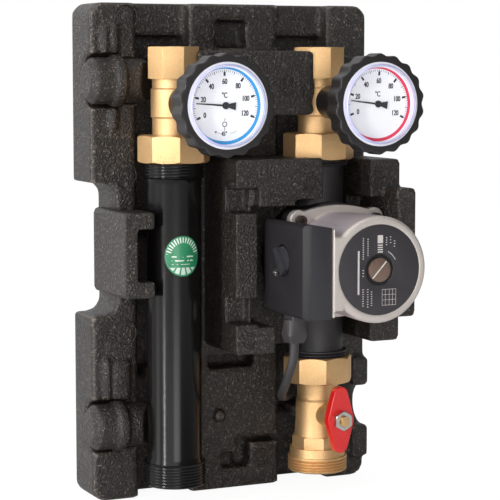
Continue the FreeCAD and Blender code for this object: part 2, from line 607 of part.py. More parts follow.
def check_valve():
    line = (RETURN_X, PIPE_AXIS_Y, 0)
    top = PUMP_TOP
    foot = top - CAGE_H
    ring_z = top - CAGE_RING_H
    r = PIPE_BORE_R - FIT
    cage = ring("z", line, CAGE_BORE_R, r, (ring_z, top))
    cage = cage.fuse(ring("z", line, POPPET_R + 1.4, r, (foot, ring_z)))
    hub = cyl("z", line, SPRING_R + 2, (foot, foot + CAGE_ARM_T))
    for i in range(CAGE_ARMS):
        arm = box((RETURN_X + POPPET_STEM_R, RETURN_X + POPPET_R + 2),
                  (PIPE_AXIS_Y - CAGE_ARM_T / 2, PIPE_AXIS_Y + CAGE_ARM_T / 2), (foot, foot + CAGE_ARM_T))
        arm.rotate(V(*line), V(0, 0, 1), 360.0 * i / CAGE_ARMS)
        hub = hub.fuse(arm)
    cage = cage.fuse(hub)
    cage = cage.cut(cyl("z", line, POPPET_STEM_R + RUN, (foot - 1, foot + CAGE_ARM_T + 1)))
    export(cage, "check_cage")

    disc_top = ring_z - 0.1
    poppet = turned("z", line, [(0, disc_top), (POPPET_R - 0.6, disc_top), (POPPET_R, disc_top - 0.6),
                                (POPPET_R, disc_top - POPPET_T), (POPPET_STEM_R, disc_top - POPPET_T),
                                (POPPET_STEM_R, foot - 3), (0, foot - 3)])
    export(poppet, "check_poppet")

    low = foot + CAGE_ARM_T + SPRING_WIRE_R + RUN
    high = disc_top - POPPET_T - SPRING_WIRE_R - RUN
    helix = Part.makeHelix((high - low) / SPRING_TURNS, high - low, SPRING_R - SPRING_WIRE_R)
    section = Part.Wire(Part.makeCircle(SPRING_WIRE_R, V(SPRING_R - SPRING_WIRE_R, 0, 0), V(0, 1, 0)))
    spring = Part.Wire(helix).makePipeShell([section], True, True)
    spring.translate(V(RETURN_X, PIPE_AXIS_Y, low))
    export(spring, "check_spring")


# ---------------------------------------------------------------- ball valves
def valve_bores(body, line, stem_z, open_z, chamber_end, far_z):
    """Cuts the ball chamber from the open end, the narrower way through, and the stem's hole."""
    body = body.cut(cyl("z", line, CHAMBER_R, (open_z, chamber_end)))
    body = body.cut(cyl("z", line, SEAT_BORE_R, (open_z, far_z)))
    return body.cut(cyl("y", (line[0], 0, stem_z), STEM_R + RUN, (BOSS_END_Y - 1, PIPE_AXIS_Y)))


def chamber_end(stem_z, up):
    """Where the chamber ends, past the far seat ring; up is 1 where the chamber opens upwards."""
    return stem_z - up * (BALL_R * 0.35 + SEAT_RING_H)


def seat_rings(line, stem_z):
    """Two rings with hollow faces that the ball turns in."""
    rings = []
    space = Part.makeSphere(BALL_R + BALL_FIT, V(line[0], line[1], stem_z))
    for way in (1, -1):
        z0 = stem_z + way * BALL_R * 0.35
        seat = ring("z", line, SEAT_BORE_R, CHAMBER_R - FIT, (z0, z0 + way * SEAT_RING_H))
        rings.append(seat.cut(space))
    return rings


def ball(line, stem_z):
    """The ball, bored along the line, with a slot at the front for the stem's tongue."""
    solid = Part.makeSphere(BALL_R, V(line[0], line[1], stem_z))
    solid = solid.cut(cyl("z", line, BALL_BORE_R, (stem_z - BALL_R - 1, stem_z + BALL_R + 1)))
    half = STEM_TONGUE_T / 2 + RUN
    front = line[1] - BALL_R
    return solid.cut(box((line[0] - SLOT_HALF_L, line[0] + SLOT_HALF_L),
                         (front - 1, front + SLOT_DEPTH), (stem_z - half, stem_z + half)))


def stem(line, stem_z, end_y, bore_r=0.0):
    """A stem with a tongue in the ball's slot."""
    front = line[1] - BALL_R
    rod = cyl("y", (line[0], 0, stem_z), STEM_R, (end_y, front - 0.4))
    half = STEM_TONGUE_T / 2
    reach = math.sqrt(STEM_R ** 2 - half ** 2) - 0.2
    tongue = box((line[0] - reach, line[0] + reach),
                 (front - 1, front + SLOT_DEPTH - 0.2), (stem_z - half, stem_z + half))
    rod = rod.fuse(tongue)
    if bore_r:
        rod = rod.cut(cyl("y", (line[0], 0, stem_z), bore_r, (end_y - 1, front - 4)))
    return rod


def upper_valve(prefix, x):
    line = (x, PIPE_AXIS_Y, 0)
    z0 = UPPER_VALVE_Z
    socket_z = INSTALL_LENGTH - SOCKET_H
    body_low = STEM_Z - BODY_H / 2
    body_high = STEM_Z + BODY_H / 2
    body = cyl("z", line, COLLAR_R, (z0, z0 + COLLAR_H))
    body = body.fuse(cyl("z", line, NECK_R, (z0, INSTALL_LENGTH - 1)))
    body = body.fuse(turned("z", line, [
        (0, body_low - 1), (NECK_R, body_low - 1), (BODY_R, body_low), (BODY_R, body_high),
        (NECK_R, body_high + 1), (0, body_high + 1)]))
    body = body.fuse(prism("z", line, NUT_SIDES, SOCKET_AF, (socket_z, INSTALL_LENGTH), 0, 1.2))
    body = body.fuse(cyl("y", (x, 0, STEM_Z), BOSS_R, (BOSS_END_Y, PIPE_AXIS_Y)))
    body = valve_bores(body, line, STEM_Z, INSTALL_LENGTH + 1, chamber_end(STEM_Z, 1), z0 - 1)
    body = body.cut(cyl("z", line, SOCKET_THREAD_R, (INSTALL_LENGTH - SOCKET_THREAD_L, INSTALL_LENGTH + 1)))
    export(body, prefix + "_valve_body")
    export(Part.makeCompound(seat_rings(line, STEM_Z)), prefix + "_valve_seats")
    export(ball(line, STEM_Z), prefix + "_valve_ball")
    export(stem(line, STEM_Z, HANDLE_STEM_END_Y, PROBE_R + FIT), prefix + "_valve_stem")


def scalloped(centre, r, wave, lobes, y0, y1):
    """A disc with a wavy rim."""
    steps = lobes * 8
    points = []
    for i in range(steps):
        a = 2 * math.pi * i / steps
        radius = r + wave * math.cos(lobes * a)
        points.append(V(centre[0] + radius * math.sin(a), y0, centre[2] + radius * math.cos(a)))
    curve = Part.BSplineCurve()
    curve.interpolate(points, PeriodicFlag=True)
    return Part.Face(Part.Wire(curve.toShape())).extrude(V(0, y1 - y0, 0))


def thermometer_handle(prefix, x, pointer_deg):
    centre = (x, 0, STEM_Z)
    handle = scalloped(centre, HANDLE_RIM_R, HANDLE_WAVE, HANDLE_LOBES, HANDLE_FRONT_Y, HANDLE_RIM_BACK_Y)
    handle = handle.fuse(turned("y", centre, [
        (0, HANDLE_NECK_Y), (HANDLE_NECK_R, HANDLE_NECK_Y),
        (HANDLE_NECK_R, HANDLE_RIM_BACK_Y + HANDLE_CONE_L),
        (HANDLE_RIM_R - 3, HANDLE_RIM_BACK_Y), (HANDLE_RIM_R - 3, HANDLE_RIM_BACK_Y - 1),
        (0, HANDLE_RIM_BACK_Y - 1)]))
    handle = handle.cut(cyl("y", centre, CASE_R + FIT, (HANDLE_FRONT_Y - 1, HANDLE_POCKET_Y)))
    handle = handle.cut(cyl("y", centre, STEM_R + FIT, (HANDLE_STEM_END_Y - 0.3, HANDLE_NECK_Y + 1)))
    handle = handle.cut(cyl("y", centre, PROBE_R + FIT, (HANDLE_POCKET_Y - 1, HANDLE_STEM_END_Y)))
    export(handle, prefix + "_handle")

    case = cyl("y", centre, CASE_R, (HANDLE_FRONT_Y - 0.3, HANDLE_POCKET_Y - 0.2))
    case = case.cut(cyl("y", centre, DIAL_R + 0.2, (HANDLE_FRONT_Y - 1, DIAL_BACK_Y)))
    case = case.cut(cyl("y", centre, DIAL_R - 3, (HANDLE_FRONT_Y - 1, HANDLE_POCKET_Y - 0.2 - CASE_WALL)))
    case = case.fuse(cyl("y", centre, PROBE_R, (HANDLE_POCKET_Y - 1, PIPE_AXIS_Y - BALL_R - 6)))
    export(case, prefix + "_thermometer_case")

    dial = ring("y", centre, 0.9, DIAL_R, (DIAL_BACK_Y, DIAL_FRONT_Y))
    export(dial, prefix + "_dial")

    glass_front = HANDLE_FRONT_Y - GLASS_PROUD
    flat_r = CASE_R - GLASS_BEVEL
    glass = turned("y", centre, [
        (0, glass_front), (flat_r, glass_front), (CASE_R, HANDLE_FRONT_Y - 0.6),
        (CASE_R, HANDLE_FRONT_Y - 0.3), (flat_r + 0.6, HANDLE_FRONT_Y - 0.3),
        (flat_r - 0.6, glass_front + GLASS_T), (0, glass_front + GLASS_T)])
    export(glass, prefix + "_glass")

    hub_back = DIAL_FRONT_Y - 0.4
    blade_y = (hub_back - POINTER_T, hub_back)
    needle = Part.Face(Part.makePolygon([
        V(x - 0.75, blade_y[0], STEM_Z), V(x - 0.35, blade_y[0], STEM_Z + POINTER_L),
        V(x + 0.35, blade_y[0], STEM_Z + POINTER_L), V(x + 0.75, blade_y[0], STEM_Z),
        V(x + 2.9, blade_y[0], STEM_Z - POINTER_TAIL), V(x - 2.9, blade_y[0], STEM_Z - POINTER_TAIL),
        V(x - 0.75, blade_y[0], STEM_Z)])).extrude(V(0, POINTER_T, 0))
    needle = needle.fuse(cyl("y", centre, POINTER_HUB_R, (blade_y[0] - 0.5, blade_y[1])))
    needle = needle.fuse(cyl("y", centre, 0.85, (blade_y[1] - 0.1, DIAL_BACK_Y + 1)))
    needle.rotate(V(x, 0, STEM_Z), V(0, 1, 0), pointer_deg)
    export(needle, prefix + "_pointer")


def lower_valve():
    line = (FLOW_X, PIPE_AXIS_Y, 0)
    top = LOWER_VALVE_LENGTH
    band_z = LOWER_THREAD + LOWER_COLLAR_H
    body_low = band_z + FLAT_BAND_H
    body = thread(line, 0, LOWER_THREAD)
    body = body.fuse(cyl("z", line, LOWER_COLLAR_R, (LOWER_THREAD - 0.5, band_z)))
    body = body.fuse(prism("z", line, NUT_SIDES, FLAT_BAND_AF, (band_z - 0.5, body_low), NUT_TURN_DEG, 1.0))
    body = body.fuse(turned("z", line, [
        (0, body_low - 0.5), (BODY_R + 1, body_low - 0.5), (BODY_R, LOWER_STEM_Z - 4),
        (BODY_R, LOWER_STEM_Z + 10), (NECK_R, LOWER_STEM_Z + 12), (NECK_R, top - 1), (0, top - 1)]))
    body = body.fuse(cyl("z", line, COLLAR_R, (top - COLLAR_H, top)))
    body = body.fuse(cyl("y", (FLOW_X, 0, LOWER_STEM_Z), BOSS_R, (BOSS_END_Y, PIPE_AXIS_Y)))
    body = valve_bores(body, line, LOWER_STEM_Z, -1, chamber_end(LOWER_STEM_Z, -1), top + 1)
    body = body.cut(cyl("z", line, LOWER_BORE_R, (-1, band_z)))
    export(body, "lower_valve_body")
    export(Part.makeCompound(seat_rings(line, LOWER_STEM_Z)), "lower_valve_seats")
    export(ball(line, LOWER_STEM_Z), "lower_valve_ball")

    centre = (FLOW_X, 0, LOWER_STEM_Z)
    wing_front, wing_back = WING_Y
    rod = stem(line, LOWER_STEM_Z, wing_back + 1)
    tip = cyl("y", centre, LOWER_STEM_THREAD_R, (LOWER_STEM_END_Y, wing_back + 1.5))
    flats = box((FLOW_X - STEM_FLAT, FLOW_X + STEM_FLAT), (LOWER_STEM_END_Y - 1, wing_back + 2),
                (LOWER_STEM_Z - STEM_R, LOWER_STEM_Z + STEM_R))
    rod = rod.fuse(tip.common(flats))
    export(rod, "lower_valve_stem")

    outline = cyl("y", centre, WING_HUB_R, WING_Y)
    for way in (1, -1):
        end = (FLOW_X, 0, LOWER_STEM_Z + way * WING_REACH)
        outline = outline.fuse(cyl("y", end, WING_TIP_R, WING_Y))
        blade = Part.Face(tangent_blade(centre, end, WING_HUB_R, WING_TIP_R, wing_front))
        outline = outline.fuse(blade.extrude(V(0, wing_back - wing_front, 0)))
    wing = outline.fuse(cyl("y", centre, WING_HUB_R - 3, (BOSS_END_Y - 0.3, wing_back)))
    hole = cyl("y", centre, LOWER_STEM_THREAD_R + FIT, (wing_front - 1, wing_back + 1.2))
    flat = STEM_FLAT + FIT
    hole = hole.common(box((FLOW_X - flat, FLOW_X + flat), (wing_front - 2, wing_back + 3),
                           (LOWER_STEM_Z - STEM_R, LOWER_STEM_Z + STEM_R)))
    wing = wing.cut(hole).cut(cyl("y", centre, STEM_R + FIT, (wing_back + 0.8, BOSS_END_Y + 1)))
    export(wing, "butterfly_handle")

    nut = prism("y", centre, 6, WING_NUT_AF, (wing_front - WING_NUT_H, wing_front), 0, 0.8)
    nut = nut.cut(cyl("y", centre, LOWER_STEM_THREAD_R + RUN, (wing_front - WING_NUT_H - 1, wing_front + 1)))
    export(nut, "handle_nut")


def tangent_blade(a, b, ra, rb, y):
    """The four-sided outline between two circles in a plane of constant Y, along their common tangents."""
    dz = b[2] - a[2]
    lean = math.asin((ra - rb) / abs(dz))
    up = 1 if dz > 0 else -1
    points = []
    for centre, r, side in ((a, ra, 1), (b, rb, 1), (b, rb, -1), (a, ra, -1)):
        points.append(V(centre[0] + side * r * math.cos(lean), y, centre[2] + up * r * math.sin(lean)))
    return Part.makePolygon(points + [points[0]])


# ---------------------------------------------------------------- pump
def screw_places():
    return [(FLOW_X + sx * SCREW_PATTERN, 0, PUMP_Z + sz * SCREW_PATTERN)
            for sx in (-1, 1) for sz in (-1, 1)]


def screw_flange(y0, y1):
    plate = box((FLOW_X - FLANGE_HALF, FLOW_X + FLANGE_HALF), (y0, y1),
                (PUMP_Z - FLANGE_HALF, PUMP_Z + FLANGE_HALF))
    return rounded(plate, SCREW_PAD_R, V(0, 1, 0))


def volute():
    centre = (FLOW_X, 0, PUMP_Z)
    line = (FLOW_X, PIPE_AXIS_Y, 0)
    body = turned("y", centre, [
        (0, VOLUTE_BACK_Y), (VOLUTE_R - 8, VOLUTE_BACK_Y), (VOLUTE_R, VOLUTE_BACK_Y - 8),
        (VOLUTE_R, FLANGE_Y), (0, FLANGE_Y)])
    body = body.fuse(screw_flange(FLANGE_Y, FLANGE_Y + 9))
    body = body.fuse(cyl("z", line, PORT_NECK_R, (PUMP_BOTTOM + 1, PUMP_TOP - 1)))
    body = body.fuse(thread(line, PUMP_BOTTOM, PUMP_BOTTOM + PUMP_THREAD, JOINED_THREAD_R))
    body = body.fuse(thread(line, PUMP_TOP - PUMP_THREAD, PUMP_TOP, JOINED_THREAD_R))
    body = body.cut(cyl("y", centre, CHAMBER_WALL_R, (FLANGE_Y - 1, IMPELLER_Y[1] + 1)))
    body = body.cut(cyl("y", centre, EYE_R, (IMPELLER_Y[1], VOLUTE_BACK_Y - 5)))
    # suction side from below, led behind the impeller to its eye; delivery side out of the chamber's top
    eye_low = PUMP_Z - CHAMBER_WALL_R - 4
    body = body.cut(cyl("z", line, PORT_BORE_R, (PUMP_BOTTOM - 1, eye_low)))
    passage_x = (FLOW_X - PASSAGE_HALF_W, FLOW_X + PASSAGE_HALF_W)
    body = body.cut(box(passage_x, (VOLUTE_BACK_Y - 6, IMPELLER_Y[1] + 4.5), (eye_low - 6, PUMP_Z)))
    body = body.cut(cyl("z", line, PORT_BORE_R, (PUMP_Z + CHAMBER_WALL_R + 3, PUMP_TOP + 1)))
    body = body.cut(box(passage_x, (PIPE_AXIS_Y, FLANGE_Y + 5),
                        (PUMP_Z + CHAMBER_WALL_R - 6, PUMP_Z + CHAMBER_WALL_R + 6)))
    for place in screw_places():
        body = body.cut(cyl("y", place, SCREW_R + FIT, (FLANGE_Y - 1, FLANGE_Y + 7)))
    export(body, "pump_volute")


def pump_rotor():
    centre = (FLOW_X, 0, PUMP_Z)
    front, back = IMPELLER_Y
    wheel = cyl("y", centre, IMPELLER_R, (front, front + 1.5))
    wheel = wheel.fuse(ring("y", centre, EYE_R - 1.5, IMPELLER_R, (back - 1.5, back)))
    wheel = wheel.fuse(cyl("y", centre, SHAFT_R + 3, (front, back - 1)))
    for i in range(VANES):
        vane = box((FLOW_X + EYE_R - 1, FLOW_X + IMPELLER_R - 1), (front + 1, back - 1),
                   (PUMP_Z, PUMP_Z + VANE_T))
        vane.rotate(V(FLOW_X + EYE_R, 0, PUMP_Z), V(0, 1, 0), VANE_LEAN_DEG)
        vane = vane.common(cyl("y", centre, IMPELLER_R, (front, back)))
        vane.rotate(V(*centre), V(0, 1, 0), 360.0 * i / VANES)
        wheel = wheel.fuse(vane)
    wheel = wheel.cut(cyl("y", centre, SHAFT_R, (front - 1, back + 1)))
    export(wheel, "impeller")
    export(cyl("y", centre, SHAFT_R, (CAN_END_Y + 0.8, back - 2)), "pump_shaft")
    export(ring("y", centre, SHAFT_R, ROTOR_R, ROTOR_Y), "pump_rotor")


def rotor_can():
    centre = (FLOW_X, 0, PUMP_Z)
    can = ring("y", centre, CAN_R, CAN_R + CAN_T, (CAN_END_Y, FLANGE_Y))
    can = can.fuse(cyl("y", centre, CAN_R + CAN_T, (CAN_END_Y - CAN_T, CAN_END_Y)))
    can = can.fuse(ring("y", centre, CAN_R, STATOR_R, (FLANGE_Y - CAN_T, FLANGE_Y)))
    export(can, "rotor_can")
    bearings = []
    for y in (CAN_END_Y + 1.5, FLANGE_Y - 1 - BEARING_T):
        bearings.append(ring("y", centre, SHAFT_R + RUN, CAN_R - FIT, (y, y + BEARING_T)))
    export(Part.makeCompound(bearings), "shaft_bearings")
    export(ring("y", centre, CAN_R + CAN_T + FIT, STATOR_R, STATOR_Y), "stator")


def motor_housing():
    centre = (FLOW_X, 0, PUMP_Z)
    body = screw_flange(FLANGE_FRONT_Y, FLANGE_Y)
    body = body.fuse(turned("y", centre, [
        (0, FLANGE_Y), (MOTOR_BACK_R, FLANGE_Y), (MOTOR_R, MOTOR_FRONT_Y + MOTOR_BAND),
        (MOTOR_R, MOTOR_FRONT_Y + 2), (MOTOR_R - 2, MOTOR_FRONT_Y), (0, MOTOR_FRONT_Y)]))
    pad = box((WING_X, FLOW_X), (MOTOR_FRONT_Y + 4, FLANGE_FRONT_Y - 1),
              (PUMP_Z - PAD_HALF_H, PUMP_Z + PAD_HALF_H))
    wing = box((WING_X, FLOW_X), (MOTOR_FRONT_Y, MOTOR_FRONT_Y + WING_T),
               (PUMP_Z - WING_HALF_H, PUMP_Z + WING_HALF_H))
    body = body.fuse(pad).fuse(wing)
    body = body.cut(cyl("y", centre, STATOR_R + FIT, (MOTOR_FRONT_Y + MOTOR_FACE_T, FLANGE_Y + 1)))
    body = body.cut(cyl("y", centre, PLATE_R + FIT, (MOTOR_FRONT_Y - 1, MOTOR_FRONT_Y + PLATE_T)))
    body = body.cut(cyl("y", centre, VENT_RECESS_R, (MOTOR_FRONT_Y - 1, MOTOR_FRONT_Y + MOTOR_FACE_T + 1)))
    body = body.fuse(ring("y", centre, VENT_R - 2 + FIT, VENT_RECESS_R,
                          (MOTOR_FRONT_Y + 3, MOTOR_FRONT_Y + MOTOR_FACE_T + 6)))
    for place in screw_places():
        body = body.cut(cyl("y", place, SCREW_R + FIT, (FLANGE_FRONT_Y - 1, FLANGE_Y + 1)))
        body = body.cut(cyl("y", place, SCREW_HEAD_R + 0.6, (FLANGE_FRONT_Y - 30, FLANGE_FRONT_Y)))
    export(body, "motor_housing")


def motor_fittings():
    centre = (FLOW_X, 0, PUMP_Z)
    plate_y = (MOTOR_FRONT_Y, MOTOR_FRONT_Y + PLATE_T - 0.05)
    export(ring("y", centre, VENT_RECESS_R + 0.1, PLATE_R, plate_y), "nameplate")
    head_back = MOTOR_FRONT_Y + 3 - 0.05
    plug = cyl("y", centre, VENT_R, (MOTOR_FRONT_Y - 0.8, head_back))
    plug = plug.fuse(cyl("y", centre, VENT_R - 2, (head_back - 1, CAN_END_Y - CAN_T - 0.3)))
    slot = box((FLOW_X - VENT_R - 1, FLOW_X + VENT_R + 1), (MOTOR_FRONT_Y - 2, MOTOR_FRONT_Y + 1.2),
               (PUMP_Z - 0.9, PUMP_Z + 0.9))
    slot.rotate(V(*centre), V(0, 1, 0), -VENT_SLOT_DEG)
    export(plug.cut(slot), "vent_plug")
    screws = []
    for place in screw_places():
        screw = cyl("y", place, SCREW_HEAD_R, (FLANGE_FRONT_Y - SCREW_HEAD_H, FLANGE_FRONT_Y))
        screw = screw.fuse(cyl("y", place, SCREW_R, (FLANGE_FRONT_Y, FLANGE_Y + 6)))
        socket = prism("y", place, 6, 4.0, (FLANGE_FRONT_Y - SCREW_HEAD_H - 1, FLANGE_FRONT_Y - 2.5), 0)
        screws.append(screw.cut(socket))
    export(Part.makeCompound(screws), "motor_screws")


def terminal_box():
    front, back = BOX_Y
    low, high = BOX_Z
    base = box((BOX_SEAM_X + 0.05, WING_X - 0.05), BOX_Y, BOX_Z)
    base = base.cut(box((BOX_SEAM_X - 1, WING_X - BOX_WALL), (front + BOX_WALL, back - BOX_WALL),
                        (low + BOX_WALL, high - BOX_WALL)))
    base = base.cut(cyl("z", (GLAND_X + GLAND_SHIFT, GLAND_Y, 0), CABLE_R + 1, (low - 1, low + BOX_WALL + 1)))
    export(base, "terminal_base")

    inner = BOX_LEFT_X + BOX_BEVEL
    outline = [(BOX_SEAM_X, front), (inner, front), (BOX_LEFT_X, front + BOX_BEVEL),
               (BOX_LEFT_X, back - 1.5), (BOX_LEFT_X + 1.5, back), (BOX_SEAM_X, back)]
    lid = Part.Face(Part.makePolygon([V(x, y, low) for x, y in outline + outline[:1]]))
    lid = lid.extrude(V(0, 0, high - low))
    for z, way in ((low, 1), (high, -1)):
        edge = Part.Face(Part.makePolygon([
            V(BOX_LEFT_X - 1, front - 1, z - way), V(BOX_LEFT_X + 3, front - 1, z - way),
            V(BOX_LEFT_X - 1, front - 1, z + way * 3), V(BOX_LEFT_X - 1, front - 1, z - way)]))
        lid = lid.cut(edge.extrude(V(0, back - front + 2, 0)))
    knob_z = PUMP_Z + KNOB_DZ
    screw_z = PUMP_Z + LID_SCREW_DZ
    floor_x = BOX_LEFT_X + KNOB_RECESS_T
    spindle_line = (0, KNOB_Y, knob_z)
    screw_line = (0, LID_SCREW_Y, screw_z)
    lid = lid.cut(cyl("x", spindle_line, KNOB_R + KNOB_GAP, (BOX_LEFT_X - 1, floor_x)))
    lid = lid.cut(cyl("x", spindle_line, KNOB_SPINDLE_R + RUN, (BOX_LEFT_X - 1, BOX_SEAM_X + 1)))
    lid = lid.cut(cyl("x", screw_line, LID_SCREW_R + 0.4, (BOX_LEFT_X - 1, BOX_LEFT_X + LID_SCREW_T + 0.3)))
    lid = lid.cut(cyl("x", screw_line, LID_SCREW_SHANK_R + FIT, (BOX_LEFT_X - 1, BOX_SEAM_X + 1)))
    export(lid, "terminal_lid")

    knob = cyl("x", spindle_line, KNOB_R, (BOX_LEFT_X - 0.5, floor_x - 0.3))
    knob = knob.fuse(cyl("x", spindle_line, KNOB_SPINDLE_R, (floor_x - 1, BOX_SEAM_X + 3)))
    outline = ((-GRIP_TIP_HALF_W, GRIP_HALF_L), (GRIP_TIP_HALF_W, GRIP_HALF_L),
               (GRIP_TAIL_HALF_W, -GRIP_HALF_L), (-GRIP_TAIL_HALF_W, -GRIP_HALF_L))
    corners = [V(BOX_LEFT_X - GRIP_PROUD, KNOB_Y + y, knob_z + z) for y, z in outline]
    knob = knob.fuse(Part.Face(Part.makePolygon(corners + corners[:1])).extrude(V(GRIP_PROUD, 0, 0)))
    knob.rotate(V(*spindle_line), V(1, 0, 0), KNOB_TURN_DEG)
    export(knob, "speed_knob")

    screw = cyl("x", screw_line, LID_SCREW_R, (BOX_LEFT_X + 0.2, BOX_LEFT_X + 0.2 + LID_SCREW_T))
    screw = screw.fuse(cyl("x", screw_line, LID_SCREW_SHANK_R, (BOX_LEFT_X + 2, BOX_SEAM_X + 8)))
    for half_y, half_z in ((0.45, 2.8), (2.8, 0.45)):
        screw = screw.cut(box((BOX_LEFT_X, BOX_LEFT_X + 1.4), (LID_SCREW_Y - half_y, LID_SCREW_Y + half_y),
                              (screw_z - half_z, screw_z + half_z)))
    export(screw, "lid_screw")

    half = GLAND_W / 2
    gland = box((GLAND_X - half + GLAND_SHIFT, GLAND_X + half + GLAND_SHIFT),
                (GLAND_Y - half, GLAND_Y + half), (low - GLAND_FOOT, low))
    gland = rounded(gland, 2.0, V(0, 0, 1))
    gland = gland.fuse(turned("z", (GLAND_X, GLAND_Y, 0), [
        (0, low - GLAND_FOOT + 1), (half, low - GLAND_FOOT + 1), (half, GLAND_BOTTOM + 6),
        (half - 2, GLAND_BOTTOM), (0, GLAND_BOTTOM)]))
    gland = gland.cut(cyl("z", (GLAND_X, GLAND_Y, 0), CABLE_R - 0.4, (GLAND_BOTTOM - 1, low + 1)))
    export(gland, "cable_gland")


# ---------------------------------------------------------------- pump cable
def cable_path(points):
    """Straight runs joined by the largest arcs that their runs allow. Returns the wire and the radii."""
    points = [V(*p) for p in points]
    edges = []
    radii = []
    start = points[0]
    for i in range(1, len(points) - 1):
        before = points[i] - points[i - 1]
        after = points[i + 1] - points[i]
        turn = before.getAngle(after)
        cut_back = 0.45 * min(before.Length, after.Length)
        radii.append(cut_back / math.tan(turn / 2))
        a = points[i] - before.normalize() * cut_back
        b = points[i] + after.normalize() * cut_back
        half = math.sqrt(radii[-1] ** 2 + cut_back ** 2) - radii[-1]
        to_middle = (a + b) * 0.5 - points[i]
        middle = points[i] + to_middle.normalize() * half
        edges.append(Part.LineSegment(start, a).toShape())
        edges.append(Part.Arc(a, middle, b).toShape())
        start = b
    edges.append(Part.LineSegment(start, points[-1]).toShape())
    return Part.Wire(edges), radii


def pump_cable():
    path, radii = cable_path(CABLE_ROUTE)
    first = V(*CABLE_ROUTE[1]) - V(*CABLE_ROUTE[0])
    section = Part.Wire(Part.makeCircle(CABLE_R, V(*CABLE_ROUTE[0]), first))
    tube = path.makePipeShell([section], True, True)
    expected = math.pi * CABLE_R ** 2 * path.Length
    print("cable %.1f mm, volume %.4f of its section times length, radii %s"
          % (path.Length, tube.Volume / expected, [round(r, 1) for r in radii]))
    export(tube, "cable_tube")
    export(ring("y", (FLOW_X, 0, PUMP_Z), COIL_MEAN_R - COIL_HALF_W, COIL_MEAN_R + COIL_HALF_W, COIL_Y),
           "cable_coil")


rear_shell()
side_plugs()
pump_cradles()
valve_bridge()
pipe_clip()
union_nut("return_union_nut", RETURN_X, PUMP_TOP, 1, NUT_TURN_DEG)
union_nut("flow_union_nut", FLOW_X, PUMP_TOP, 1, NUT_TURN_DEG - 9)
union_nut("lower_union_nut", FLOW_X, PUMP_BOTTOM, -1, NUT_TURN_DEG)
gaskets()
return_pipe()
check_valve()
for side, side_x, reading in (("return", RETURN_X, RETURN_POINTER_DEG), ("flow", FLOW_X, FLOW_POINTER_DEG)):
    upper_valve(side, side_x)
    thermometer_handle(side, side_x, reading)
lower_valve()
volute()
pump_rotor()
rotor_can()
motor_housing()
motor_fittings()
terminal_box()
pump_cable()
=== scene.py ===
import json
import math

import bmesh
import bpy
import numpy as np
from mathutils import Matrix, Vector
from mathutils.bvhtree import BVHTree

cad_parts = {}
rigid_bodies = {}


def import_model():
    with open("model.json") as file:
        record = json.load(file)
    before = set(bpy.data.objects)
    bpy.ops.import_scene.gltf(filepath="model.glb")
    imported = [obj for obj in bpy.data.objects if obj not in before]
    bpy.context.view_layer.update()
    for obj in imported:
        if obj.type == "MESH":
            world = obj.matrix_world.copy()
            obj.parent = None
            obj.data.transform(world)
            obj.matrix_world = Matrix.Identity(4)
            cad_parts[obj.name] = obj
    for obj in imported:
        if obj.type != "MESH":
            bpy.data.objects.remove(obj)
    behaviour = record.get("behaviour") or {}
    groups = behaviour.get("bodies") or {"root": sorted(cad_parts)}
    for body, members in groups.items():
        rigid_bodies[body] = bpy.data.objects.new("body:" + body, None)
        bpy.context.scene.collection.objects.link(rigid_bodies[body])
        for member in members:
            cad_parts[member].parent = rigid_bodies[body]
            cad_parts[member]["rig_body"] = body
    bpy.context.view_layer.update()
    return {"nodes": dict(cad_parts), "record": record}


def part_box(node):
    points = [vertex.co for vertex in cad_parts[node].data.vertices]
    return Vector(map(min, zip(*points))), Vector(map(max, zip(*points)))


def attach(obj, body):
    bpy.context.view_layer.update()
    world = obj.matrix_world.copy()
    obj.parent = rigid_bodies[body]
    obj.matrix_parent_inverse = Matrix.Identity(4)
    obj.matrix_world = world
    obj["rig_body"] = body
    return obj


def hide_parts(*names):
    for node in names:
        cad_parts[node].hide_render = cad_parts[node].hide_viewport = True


bl_info = {
    "name": "Heating Circuit Pump Group",
    "version": (1, 0, 0),
    "blender": (4, 5, 0),
    "location": "View3D > Sidebar > Pump Group",
    "description": "Dresses the pump group's construction with its finishes, dials, cable and stage",
    "category": "Object",
}

MM = 0.001

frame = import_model()
NODES = frame["nodes"]


# ---------------------------------------------------------------- places read from the frame
def middle(node):
    low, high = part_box(node)
    return (low + high) / 2


RETURN_X = middle("return_pipe").x
PIPE_Y = middle("return_pipe").y
FLOW_X = middle("lower_valve_body").x
STEM_Z = middle("return_glass").z
PUMP_Z = middle("impeller").z
PIPE_R = 21.2 * MM
SHELL_BOTTOM_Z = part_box("rear_shell")[0].z
PLATE_FRONT_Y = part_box("nameplate")[0].y
MOTOR_BACK_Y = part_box("motor_housing")[1].y


# ---------------------------------------------------------------- node trees
class Wire:
    """One output socket of a tree. Arithmetic with numbers or other wires adds Math nodes."""

    def __init__(self, tree, socket):
        self.tree = tree
        self.socket = socket

    def __add__(self, other):
        return self.tree.math("ADD", self, other)

    __radd__ = __add__

    def __sub__(self, other):
        return self.tree.math("SUBTRACT", self, other)

    def __rsub__(self, other):
        return self.tree.math("SUBTRACT", other, self)

    def __mul__(self, other):
        return self.tree.math("MULTIPLY", self, other)

    __rmul__ = __mul__

    def __truediv__(self, other):
        return self.tree.math("DIVIDE", self, other)

    def __gt__(self, other):
        return self.tree.math("GREATER_THAN", self, other)

    def __lt__(self, other):
        return self.tree.math("LESS_THAN", self, other)

    def cos(self):
        return self.tree.math("COSINE", self)

    def clamped(self):
        return self.tree.node("ShaderNodeClamp", {}, {0: self})


